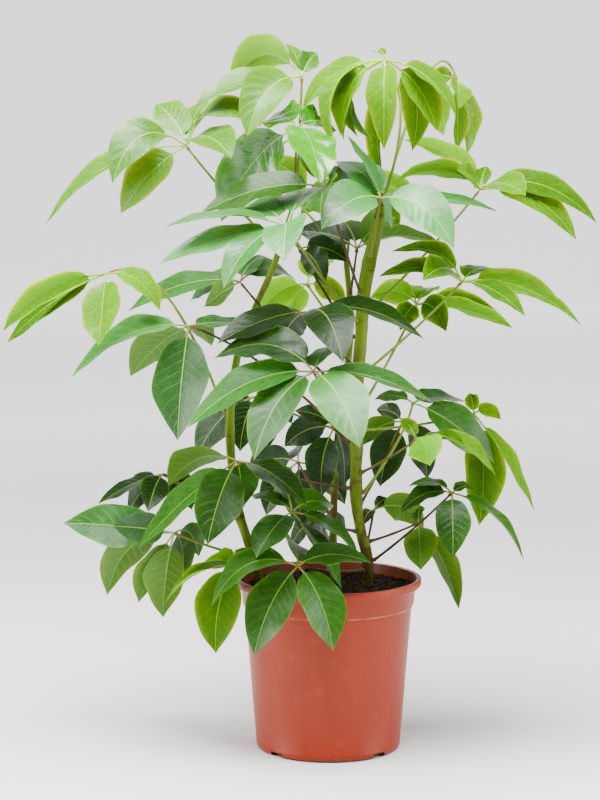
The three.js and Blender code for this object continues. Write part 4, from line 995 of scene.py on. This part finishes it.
def leaf_finish(name, deep, bright, lower, rib, rough, shine, glow, glints=0.0):
    finish = Finish(name)
    across = abs(finish.read("across"))
    along = finish.read("along")
    under = finish.step(finish.read("under"), 0.5, 0.52)
    lively = finish.read("lively")
    mottle = finish.grain(34.0, 5.0)
    wrinkle = finish.grain(105.0, 3.0)
    fine = finish.grain(240.0, 3.0)
    row = (along - across * VEIN_SLANT - across * across * VEIN_CURVE) * VEIN_PAIRS + mottle * 0.5
    beside = abs(row.math("FRACT", row) - 0.5)
    vein = finish.step(beside, 0.015, 0.085, 1.0, 0.0) * finish.step(across, 0.5, 1.0, 1.0, 0.0)
    net = finish.step(finish.cells(300.0, "DISTANCE_TO_EDGE"), 0.0, 0.12, 1.0, 0.0)
    half_rib = RIB_HALF - along * RIB_TAPER
    midrib = finish.step(finish.read("off") - half_rib, -0.35, 0.45, 1.0, 0.0)
    margin = finish.step(across, 0.93, 0.99)
    between = finish.step(beside, 0.1, 0.4)

    blade = finish.mix(deep, bright, finish.step(mottle * 0.55 + lively * 0.6, 0.22, 0.92))
    # Where the per-leaflet number is below zero, the leaflet is painted towards that dark green: painted
    # shade.
    blade = finish.mix(blade, SHADED, finish.step(lively, -1.0, 0.0, 0.9, 0.0))
    blade = finish.mix(blade, deep, finish.step(wrinkle, 0.42, 0.68) * 0.3)
    blade = finish.mix(blade, rib, vein * 0.06 + net * 0.04)
    blade = finish.mix(blade, rib, margin * 0.06)
    blade = finish.mix(blade, deep, finish.step(fine, 0.5, 0.8) * 0.16 + between * 0.12)
    below = finish.mix(lower, rib, vein * 0.22 + net * 0.08 + mottle * 0.06)
    skin = finish.mix(blade, below, under)
    skin = finish.mix(skin, rib, midrib * 0.72)
    stalk = finish.mix(rib, REDDISH_STALK, finish.read("stain") * 0.8)
    skin = finish.mix(stalk, skin, finish.step(along, -0.01, 0.03))

    roughness = rough + under * 0.24 + mottle * 0.10 + midrib * 0.1
    relief = wrinkle * 1.1 - vein * 0.4 - midrib * 0.2 + fine * 0.15 - net * 0.12
    glint = finish.step(finish.grain(42.0, 3.0), 0.5, 0.66) * (1.0 - under) * glints
    return finish.surface(
        skin, roughness, relief, depth=0.00035, Specular_IOR_Level=shine, Subsurface_Weight=glow,
        Subsurface_Radius=(1.0, 1.0, 0.5), Subsurface_Scale=LIGHT_REACH,
        Coat_Weight=glint, Coat_Roughness=0.16,
    )


print("veins a side:", round(VEIN_PAIRS), "and a midrib", 2 * RIB_HALF, "mm wide at its foot")

# %% [markdown]
# ## The tones of the leaves
# Young leaves at the top are yellow-green and let light through, old ones below are dark and
# leathery. A few leaves differ from their tone in the photograph: one is crinkled and glossy, two
# get a brighter, bluer copy of the middle finish as a painted sheen, and some are painted towards
# a dark green as painted shade, where other leaves shade them. Small tables name them, by leaf
# or by leaf and leaflet, so that the rule for all the others stays plain.
# %% Leaf finishes
LEAF_FINISHES = {
    "young": leaf_finish(
        "young_leaf", deep=colour(50, 94, 0), bright=colour(76, 122, 0), lower=colour(90, 156, 0),
        rib=colour(146, 186, 10), rough=0.30, shine=0.02, glow=0.7, glints=0.30,
    ),
    "fresh": leaf_finish(
        "fresh_leaf", deep=colour(36, 76, 0), bright=colour(76, 126, 0), lower=colour(76, 140, 0),
        rib=colour(136, 174, 16), rough=0.28, shine=0.04, glow=0.6, glints=0.24,
    ),
    "pale": leaf_finish(
        "pale_leaf", deep=colour(36, 84, 2), bright=colour(70, 118, 16), lower=colour(84, 146, 0),
        rib=colour(150, 188, 40), rough=0.28, shine=0.24, glow=0.5, glints=0.3,
    ),
    "middle": leaf_finish(
        "middle_leaf", deep=colour(13, 62, 5), bright=colour(42, 119, 27), lower=colour(56, 106, 0),
        rib=colour(140, 184, 60), rough=0.34, shine=0.46, glow=0.2, glints=0.1,
    ),
    # A brighter, bluer copy of the middle finish: a painted sheen for the two high leaves, besides its real
    # shine.
    "painted_sheen": leaf_finish(
        "silvery_leaf", deep=colour(26, 90, 26), bright=colour(62, 148, 62), lower=colour(60, 112, 0),
        rib=colour(150, 190, 84), rough=0.32, shine=0.55, glow=0.2, glints=0.2,
    ),
    "glossy": leaf_finish(
        "glossy_leaf", deep=colour(18, 82, 0), bright=colour(54, 132, 0), lower=colour(72, 124, 0),
        rib=colour(130, 174, 40), rough=0.11, shine=0.75, glow=0.5,
    ),
    "dark": leaf_finish(
        "dark_leaf", deep=colour(9, 33, 1), bright=colour(34, 82, 10), lower=colour(50, 94, 0),
        rib=colour(118, 160, 36), rough=0.30, shine=0.21, glow=0.2, glints=0.08,
    ),
}
OTHER_FINISHES = {
    "leaf_top_glossy": "glossy", "leaf_left_hanging": "middle", "leaf_top_left": "pale",
    "leaf_top_middle": "pale", "leaf_high_front": "painted_sheen", "leaf_high_left": "painted_sheen",
}
RIPPLE = 1.0
OTHER_RIPPLES = {"leaf_top_glossy": 3.4, ("leaf_centre_front", 4): 2.6}
# Leaves and leaflets painted darker as painted shade, where other leaves shade them.
PAINTED_SHADES = {
    "leaf_mid_front": -0.7, ("leaf_centre_front", 4): -0.6, "leaf_back_middle": -0.7,
    "leaf_back_low_left": -0.7, "leaf_back_low": -0.6, "leaf_mid_dark": -0.6,
    "leaf_right_inner_back": -0.4, "leaf_high_dark": -0.5, "leaf_high_brown_stalk": -0.5,
    "leaf_low_left_back": -0.3, "leaf_low_right_back": -0.3,
}


def own_choice(table, leaf, number, usual):
    """What a table names for this leaflet, or for its whole leaf, or else the usual value."""
    return table.get((leaf.name, number), table.get(leaf.name, usual))


print("leaf finishes:", ", ".join(LEAF_FINISHES))

# %% [markdown]
# ## Leaf stalks
# A leaf stalk is round, green to nearly black, and reddish where it nears the hub. `stain` says
# how dark a leaf's stalk is, and `run` goes from the stem to the hub. The darker the tone of a
# leaf, the darker its stalk, but for the few that the photograph shows otherwise.
# %% Stalk finish
def stalk_finish():
    finish = Finish("leaf_stalk")
    run = finish.read("run")
    stain = finish.read("stain")
    streak = finish.grain(120.0, 4.0, at=finish.stretch((1.0, 1.0, 0.3)))
    spots = finish.step(finish.cells(520.0), 0.06, 0.2, 1.0, 0.0)
    green = finish.mix(colour(84, 108, 10), colour(118, 136, 34), streak)
    maroon = finish.mix(colour(28, 15, 10), colour(70, 40, 24), streak)
    share = finish.step(stain + (streak - 0.5) * 0.5, 0.2, 0.8)
    body = finish.mix(green, maroon, share)
    near_hub = finish.step(run, 0.86, 0.99)
    body = finish.mix(body, colour(118, 62, 40), near_hub * 0.4)
    near_stem = finish.step(run, 0.0, 0.06, 1.0, 0.0)
    body = finish.mix(body, colour(120, 92, 50), near_stem * 0.55)
    body = finish.mix(body, colour(140, 124, 70), spots * 0.2)
    relief = streak * 0.5 + spots * 0.5
    return finish.surface(body, 0.42 + streak * 0.12, relief, depth=0.00025, Specular_IOR_Level=0.2)


STALK = stalk_finish()
STAINS = {"young": 0.0, "fresh": 0.22, "middle": 0.45, "dark": 0.7}
OTHER_STAINS = {
    "leaf_centre_front": 1.0,
    "leaf_mid_left": 0.95,
    "leaf_mid_front": 0.95,
    "leaf_high_brown_stalk": 0.85,
    "leaf_right_red_hub": 0.6,
    "leaf_right_yellow_stalk": 0.0,
    "leaf_top_glossy": 0.1,
    "leaf_top_left": 0.1,
}
print("made", STALK.name)

# %% [markdown]
# ## Which way each leaflet went
# Where two leaflets would have crossed, the plain solids hold one of them a little nearer or
# farther, or more or less arched. The fine leaflet has to make the same choice. So we lay every
# possible leaflet over the plain solid and keep the one whose corners lie on it.
# %% The centre line and frame of a leaflet
ARCHES = (1.0, 0.5, 1.6)
SLIDES = (0, 10, -10, 20, -20, 32, -32, 46, -46, 62, -62, 80, -80)
BROADEST = 0.26
ARCH_TOP = 0.42
FOLDS = {"young": 0.32, "fresh": 0.2, "middle": 0.14, "dark": 0.16}
WAVE, WAVE_STEP = 2.2, 2.1
FAR_SIDE = 1.3
PLAIN_THICK = 0.8
PLAIN_STATIONS = ((0.14, 0.66), (0.45, 1.0), (0.78, 0.6))
FARTHEST = 25.0


class Blade:
    """A leaflet's arched centre line, its width, and how it is turned about that line."""

    def __init__(self, leaf, spec, phase, arch_by, slide):
        self.phase, self.fold, self.stalks = phase, FOLDS[leaf.tone], leaf.stalks
        self.root = spot(*leaf.hub)
        flat = spot(spec.across, spec.down, leaf.hub.depth)
        reach_left = max(0.0, leaf.reach ** 2 - ((flat - self.root) ** 2).sum())
        depth = leaf.hub.depth - spec.lean * math.sqrt(reach_left)
        self.tip = spot(spec.across, spec.down, depth + slide)
        chord = self.tip - self.root
        self.length = np.linalg.norm(chord)
        along = chord / self.length
        rise = UP - along * along[2]
        if np.linalg.norm(rise) < 0.05:
            rise = np.array([0.0, -1.0, 0.0])
        self.bend = self.root + ARCH_TOP * chord + unit(rise) * spec.arch * arch_by * 2 * self.length
        self.width = min(leaf.wide / 2, self.length * BROADEST)
        scale = (leaf.hub.depth + VIEW_BACK) / VIEW_FOCAL
        share = min(1.0, spec.seen * scale / (2 * self.width))
        sight = unit(VIEW_PLACE - (self.root + self.tip) / 2)
        across = unit(np.cross(sight, along))
        toward = unit(np.cross(along, across))
        sides = []
        for turn in (1, -1):
            side = across * share + toward * turn * math.sqrt(1 - share ** 2)
            normal = unit(np.cross(side, along))
            shown = 1 if normal @ toward * spec.face >= 0 else -1
            sides.append((normal[2] * shown, side * shown))
        self.side = max(sides, key=lambda found: found[0])[1]

    def frames(self, at):
        """Middle, side and upward directions at shares of the line, each an N by 3 array."""
        at = np.asarray(at, float)[:, None]
        middle = self.root * (1 - at) ** 2 + self.bend * 2 * at * (1 - at) + self.tip * at * at
        slope = unit((self.bend - self.root) * (1 - at) + (self.tip - self.bend) * at)
        side = unit(self.side - slope * (slope @ self.side)[:, None])
        return middle, side, unit(np.cross(side, slope))

    def corners(self):
        """The plain solid's corners."""
        places, shares = zip(*PLAIN_STATIONS)
        middle, side, normal = self.frames([self.stalks + (1 - self.stalks) * place for place in places])
        points = [self.tip]
        for i, share in enumerate(shares):
            reach = self.width * share
            for edge, shift in ((-1, 0.0), (0, 0.0), (1, FAR_SIDE)):
                wave = WAVE * math.sin(self.phase + shift + WAVE_STEP * i) * share
                lift = (self.fold * reach + wave) * abs(edge)
                for half in (-PLAIN_THICK / 2, PLAIN_THICK / 2):
                    points.append(middle[i] + side[i] * reach * edge + normal[i] * (lift + half))
        return points


def corner_tree(node):
    """The corners of a plain solid, ready to be asked which of them is nearest."""
    corners = [vert.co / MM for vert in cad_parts[node].data.vertices]
    tree = kdtree.KDTree(len(corners))
    for count, corner in enumerate(corners):
        tree.insert(corner, count)
    tree.balance()
    return tree


def misfit(tree, points):
    return sum(min(tree.find(point)[2], FARTHEST) for point in points) / len(points)


def blade_of(tree, leaf, spec, phase):
    """The blade whose corners lie nearest to those of the plain solid."""
    choices = [Blade(leaf, spec, phase, arch, slide) for arch in ARCHES for slide in SLIDES]
    misfits = [misfit(tree, blade.corners()) for blade in choices]
    best = int(np.argmin(misfits))
    return choices[best], misfits[best]


print("leaflets can be", len(ARCHES) * len(SLIDES), "ways")

# %% [markdown]
# ## The leaf stalk's bow
# A stalk is a curve through three points: its foot on the stem, a middle and the hub. Where two
# stalks would have crossed, one of them bows aside, and we find that bow in the same way.
# %% The centre line of a leaf stalk
BOWS = (
    (0, 0), (0, 14), (0, -14), (10, 0), (-10, 0), (0, 28), (0, -28), (18, 14), (-18, -14), (0, 42),
    (0, -42),
)
SAG = 0.05
PLAIN_ROOT, PLAIN_TIP, PLAIN_STEPS, PLAIN_SIDES = 2.6, 1.8, 4, 4


def bowed(foot, middle, end, at):
    at = np.asarray(at, float)[:, None]
    return foot * (1 - at) ** 2 + middle * 2 * at * (1 - at) + end * at * at


def stalk_line(tree, leaf):
    """The foot, middle and end of a leaf's stalk, with the bow that the plain solid has."""
    foot, end = on_stem(*leaf.stem), spot(*leaf.hub)
    straight = (foot + end) / 2 - UP * SAG * np.linalg.norm(end - foot)
    rest = spot(*leaf.via) if leaf.via else straight
    steps = np.arange(1, PLAIN_STEPS) / PLAIN_STEPS
    found = []
    for across, back in BOWS:
        middle = rest + np.array([across, back, 0.0])
        error = 0.0
        for at, place in zip(steps, bowed(foot, middle, end, steps)):
            radius = PLAIN_ROOT + (PLAIN_TIP - PLAIN_ROOT) * at
            nearest = tree.find_n(place, PLAIN_SIDES)
            error += sum(abs(hit[2] - radius) for hit in nearest) / PLAIN_SIDES
        found.append((error, middle))
    return foot, min(found, key=lambda pair: pair[0])[1], end


print("stalks can bow", len(BOWS), "ways")

# %% [markdown]
# ## The form of a blade
# A leaflet is broadest just before its middle and ends in a drip tip. Its margin is slightly
# uneven. Three things lift it out of the flat: the fold along the midrib, slow and quick waves of
# the margin, and a quilting between the side veins. A crinkled leaflet has stronger ripples.
# `along` runs from the blade's foot to its tip, `across` from one margin to the other, -1 to 1.
# %% Width and lift of a blade
LEAFLET_OUTLINE = (
    (0, 0.05), (0.05, 0.37), (0.14, 0.68), (0.28, 0.91), (0.45, 1.0), (0.62, 0.90), (0.78, 0.62),
    (0.88, 0.36), (0.94, 0.16), (0.975, 0.06), (1.0, 0.0),
)
RAGGED = 0.045
QUILT = 0.3
FIRST_STATION, STATION_GAP = 0.14, 0.32


def blade_width(blade, along, across):
    """The half width at each place as a share of the broadest."""
    ragged = np.sin(11 * along + 5 * blade.phase + 2 * np.sign(across)) * np.sin(np.pi * along)
    return smooth_between(*zip(*LEAFLET_OUTLINE), along) * (1 + RAGGED * ragged)


def blade_lift(blade, ripple, along, across, wide):
    out = np.abs(across)
    shift = np.where(across > 0, FAR_SIDE, 0.0)
    station = (along - FIRST_STATION) / STATION_GAP
    fold = blade.fold * blade.width * wide * out ** 1.25
    wave = WAVE * np.sin(blade.phase + shift + WAVE_STEP * station) * wide * out ** 1.6
    curl = ripple * np.sin(3 * blade.phase + 4 * shift + 17 * along) * wide * out ** 2
    inner = np.sin(24 * along + 7 * across + blade.phase) * np.sin(np.pi * out) * wide
    row = (along - VEIN_SLANT * out - VEIN_CURVE * out * out) * VEIN_PAIRS
    quilt = -QUILT * np.cos(2 * np.pi * row) * np.sin(np.pi * out) * wide
    return fold + wave + curl + max(ripple - 1, 0) * 0.5 * inner + quilt


print("a blade's outline has", len(LEAFLET_OUTLINE), "places")

# %% [markdown]
# ## A fine leaflet
# A leaflet is one grid rolled up into a closed skin, like a flattened sleeve: half of each ring is
# the upper face, half the lower. The rings start round on the little stalk and open into the
# blade. The midrib stands out below and thins towards the tip, and the two faces meet at the
# margin in a sharp edge. Both faces are split into triangles along the same diagonals, because
# a thin blade would otherwise poke through itself.
# %% The skin of a leaflet
AROUND, ALONG = 32, 38
STALK_ROWS = 0.16
STALKLET = 1.25
SKIN_HALF = 0.22
RIB_DEEP, RIB_LEAST, RIB_REACH = 1.2, 0.15, 1.1
OPENING = 0.06


def leaflet_skin(blade, ripple, stain, lively):
    def skin(turn, run):
        run = np.clip(run, 0, 1)
        along = (run - STALK_ROWS) / (1 - STALK_ROWS)
        on_stalk = blade.stalks * run / STALK_ROWS
        on_blade = blade.stalks + (1 - blade.stalks) * along
        middle, side, normal = blade.frames(np.where(along < 0, on_stalk, on_blade))
        along = np.clip(along, 0, 1)
        upper = turn < 0.5
        even = np.where(upper, 4 * turn - 1, 3 - 4 * turn)
        across = np.sign(even) * np.abs(even) ** 1.7
        wide = blade_width(blade, along, across)
        half = blade.width * wide
        off = np.abs(across) * half

        body = np.clip(1 - across * across, 0, 1)
        rib = np.exp(-((off / RIB_REACH) ** 2)) * (RIB_DEEP * (1 - along) ** 0.8 + RIB_LEAST)
        rib = rib * np.clip((1 - along) * 20, 0, 1) * body
        thick = SKIN_HALF * np.sqrt(body) * np.clip((1 - along) * 30, 0, 1)
        lift = blade_lift(blade, ripple, along, across, wide)
        lift = lift + np.where(upper, thick + 0.15 * rib, -thick - rib)

        open_up = np.clip(along / OPENING, 0, 1)
        open_up = open_up ** 2 * (3 - 2 * open_up)
        angle = turn * 2 * math.pi
        stalk = STALKLET * np.clip(run * 60, 0, 1) * (1 - open_up)
        sideways = across * half * open_up - np.cos(angle) * stalk
        upwards = lift * open_up + np.sin(angle) * stalk
        points = within_box(middle + side * sideways[:, None] + normal * upwards[:, None])
        flat = np.zeros_like(run)
        return points, {
            "across": across,
            "along": np.where(run < STALK_ROWS, run - STALK_ROWS, along),
            "off": off,
            "under": np.where(np.abs(across) > 0.999, 0.5, flat + ~upper),
            "lively": flat + lively,
            "stain": flat + stain,
        }

    return skin


def sharpen_margins(bm, faces):
    """The two faces of a blade meet at its margin in a real edge."""
    across = bm.verts.layers.float["across"]
    along = bm.verts.layers.float["along"]
    for edge in {edge for face in faces for edge in face.edges}:
        if all(abs(vert[across]) > 0.999 and vert[along] > 0.06 for vert in edge.verts):
            edge.smooth = False


def split_alike(bm, faces):
    """Cuts both faces of a blade along the same diagonals, so that they never cross."""
    under = bm.verts.layers.float["under"]
    share = {face: sum(vert[under] for vert in face.verts) / len(face.verts) for face in faces}
    upper = [face for face in faces if share[face] < 0.5]
    lower = [face for face in faces if share[face] >= 0.5]
    bmesh.ops.triangulate(bm, faces=upper, quad_method="FIXED")
    bmesh.ops.triangulate(bm, faces=lower, quad_method="ALTERNATE")


print("a blade is", 2 * SKIN_HALF, "mm thick, with", 2 * AROUND * ALONG, "triangles")

# %% [markdown]
# ## A fine leaf stalk
# A leaf stalk is a thin tube, swollen where it leaves the stem, with a shallow groove along its
# upper side. It ends in the hub, a small round swelling that the leaflets' stalks grow from.
# It starts just under the bark of its stem, so we first look for the place where it comes out.
# %% The skin of a leaf stalk
STALK_AROUND, STALK_ALONG = 12, 44
STALK_RADIUS, STALK_END_RADIUS = 2.1, 1.6
FOOT_SWELL, FOOT_REACH = 0.85, 5.5
HUB_RADIUS, HUB_TALL, HUB_BACK = 2.9, 3.4, 2.6
GROOVE = 0.10
UNDER_BARK = 0.8


def stalk_skin(line, start, stain):
    foot, middle, end = line
    length = np.linalg.norm(end - foot)

    def skin(turn, run):
        run = np.clip(run, 0, 1)
        at = start + (1 - start) * run
        place = bowed(foot, middle, end, at)
        slope = unit((middle - foot) * (1 - at)[:, None] + (end - middle) * at[:, None])
        place = place + slope * (np.clip((run - 0.97) / 0.03, 0, 1) * 2.0)[:, None]
        side = unit(np.cross(slope, np.array([0.12, 1.0, 0.08])))
        other = np.cross(slope, side)
        gone = run * length * (1 - start)
        left = (1 - run) * length * (1 - start)
        radius = STALK_RADIUS + (STALK_END_RADIUS - STALK_RADIUS) * run
        radius = radius * (1 + FOOT_SWELL * np.exp(-(gone / FOOT_REACH) ** 2))
        radius = radius + 0.12 * np.sin(gone * 0.21)
        ball = np.sqrt(np.clip(1 - ((left - HUB_BACK) / HUB_TALL) ** 2, 0, 1))
        radius = np.maximum(radius, HUB_RADIUS * ball)
        radius = radius * np.sqrt(np.clip(left * 0.9, 0, 1)) * np.clip(gone * 4, 0, 1)
        angle = turn * 2 * math.pi
        radius = radius * (1 - GROOVE * np.exp(-((angle - math.pi) / 0.5) ** 2))
        ring = side * np.cos(angle)[:, None] + other * np.sin(angle)[:, None]
        return place + ring * radius[:, None], {"run": run, "stain": np.full_like(run, stain)}

    return skin


def stalk_start(leaf, line):
    """The share of the stalk's line at which it leaves the bark of its stem."""
    name = leaf.stem[0]
    axis, radii = stem_points(STEMS[name])
    shares = np.linspace(0, 1, 600)
    middle, knots = along_line(axis, shares)
    thick = smooth_between(knots, radii, shares)
    steps = np.linspace(0, 0.4, 161)
    for at, place in zip(steps, bowed(*line, steps)):
        gaps = np.linalg.norm(middle - place, axis=1) - thick
        if gaps.min() > -UNDER_BARK:
            return at
    return 0.0


print("a leaf stalk tapers from", 2 * STALK_RADIUS, "to", 2 * STALK_END_RADIUS, "mm")

# %% [markdown]
# ## Growing the leaves
# Every leaf becomes one piece: its stalk, its hub and all of its leaflets. We also print how far
# the laid-over leaflets lie from the plain solid, because a large number would mean a wrong guess.
# %% Grow them
GAP_TO_REPORT = 2.0
leaf_luck = random.Random(7)
worst = 0.0
faces_made = 0
for count, leaf in enumerate(LEAVES):
    tree = corner_tree(leaf.name)
    stain = OTHER_STAINS.get(leaf.name, STAINS[leaf.tone])
    line = stalk_line(tree, leaf)
    bm = mesh_with("across", "along", "off", "under", "lively", "stain", "run")
    rolled_grid(bm, STALK_AROUND, STALK_ALONG, stalk_skin(line, stalk_start(leaf, line), stain))
    for face in bm.faces:
        face.material_index = 1
    for number, spec in enumerate(leaf.leaflets):
        blade, gap = blade_of(tree, leaf, spec, 1.7 * number + 0.9 * count)
        worst = max(worst, gap)
        if gap > GAP_TO_REPORT:
            print("check", leaf.name, "leaflet", number, "misfit", round(gap, 2))
        ripple = own_choice(OTHER_RIPPLES, leaf, number, RIPPLE)
        lively = own_choice(PAINTED_SHADES, leaf, number, leaf_luck.random())
        shape = leaflet_skin(blade, ripple, stain, lively)
        blade_faces = rolled_grid(bm, AROUND, ALONG, shape)
        sharpen_margins(bm, blade_faces)
        split_alike(bm, blade_faces)
    skin = LEAF_FINISHES[OTHER_FINISHES.get(leaf.name, leaf.tone)]
    piece = finish_piece("fine_" + leaf.name, bm, [skin, STALK], leaf.name)
    faces_made += len(piece.data.polygons)
print("leaf faces", faces_made, "worst misfit", round(worst, 2), "mm")

# %% [markdown]
# ## Floor and backdrop
# The floor is a plain pale sheet, and a pale backdrop stands far behind. The backdrop glows, and
# so does the far part of the floor, more and more with its distance from the pot. So the two
# meet without a line, and the leaves stand out against an even pale grey. Emission is the easy
# way to such a background, because it needs no lamps of its own.
# %% Floor and backdrop
BACKDROP_GLOW = 1.2
GLOW_NEAR, GLOW_FAR = 1.0, 4.0
FLOOR_HALF, FLOOR_PLACE = 9.0, (0, 0, -0.0006)
BACKDROP_HALF, BACKDROP_PLACE = 3.9, (0, 8.9, 3.7)
UNLIT, LIT = (0.0, 0.0, 0.0), (1.0, 1.0, 1.0)


def stage_sheet(name, half, place, finish, upright=False):
    """A flat square that only sets the stage. `half` is half of its side, in metres."""
    bm = bmesh.new()
    verts = bmesh.ops.create_grid(bm, x_segments=1, y_segments=1, size=half)["verts"]
    if upright:
        quarter = Matrix.Rotation(math.pi / 2, 3, "X")
        bmesh.ops.rotate(bm, verts=verts, cent=(0, 0, 0), matrix=quarter)
    mesh = bpy.data.meshes.new(name)
    bm.to_mesh(mesh)
    bm.free()
    mesh.materials.append(finish.material)
    sheet = bpy.data.objects.new(name, mesh)
    sheet.location = place
    bpy.context.scene.collection.objects.link(sheet)


floor_finish = Finish("pale_floor")
far_off = floor_finish.height_and_radius()[1]
far_glow = floor_finish.mix(UNLIT, LIT, floor_finish.step(far_off, GLOW_NEAR, GLOW_FAR))
floor_finish.surface(
    colour(212, 212, 211), 0.9, Emission_Color=far_glow, Emission_Strength=BACKDROP_GLOW,
)
backdrop_finish = Finish("pale_backdrop")
backdrop_finish.surface(
    colour(178, 178, 178), 0.9, Emission_Color=LIT, Emission_Strength=BACKDROP_GLOW,
)
stage_sheet("floor", FLOOR_HALF, FLOOR_PLACE, floor_finish)
stage_sheet("backdrop", BACKDROP_HALF, BACKDROP_PLACE, backdrop_finish, upright=True)
print("floor", 2 * FLOOR_HALF, "m wide, backdrop", BACKDROP_PLACE[1], "m behind the pot")

# %% [markdown]
# ## Light
# A dim, even sky keeps the gaps between the leaves from going black. A large soft lamp above
# gives the leaves their sheen, and two upright ones light the plant from the left and the right,
# the left a little stronger, as the shading in the photograph shows.
# %% Sky and lamps
SKY_LIGHT = 0.3
LAMP_ABOVE = {"place": (-0.3, -0.6, 2.5), "target": (0, 0, 0.6), "size": (2.0, 1.5), "power": 320}
LAMP_LEFT = {"place": (-2.6, -0.75, 1.2), "target": (0, 0, 0.45), "size": (1.2, 2.4), "power": 125}
LAMP_RIGHT = {"place": (2.6, -0.75, 1.2), "target": (0, 0, 0.45), "size": (1.2, 2.4), "power": 105}

world = bpy.data.worlds.new("sky")
bpy.context.scene.world = world
world.use_nodes = True
sky = world.node_tree.nodes["Background"]
sky.inputs["Color"].default_value = (*LIT, 1)
sky.inputs["Strength"].default_value = SKY_LIGHT


def soft_lamp(name, place, target, size, power):
    light = bpy.data.lights.new(name, "AREA")
    light.shape = "RECTANGLE"
    light.size, light.size_y = size
    light.energy = power
    lamp = bpy.data.objects.new(name, light)
    lamp.location = place
    lamp.rotation_euler = (Vector(target) - Vector(place)).to_track_quat("-Z", "Y").to_euler()
    bpy.context.scene.collection.objects.link(lamp)


soft_lamp("lamp_above", **LAMP_ABOVE)
soft_lamp("lamp_left", **LAMP_LEFT)
soft_lamp("lamp_right", **LAMP_RIGHT)
print("sky", SKY_LIGHT, "and three lamps")
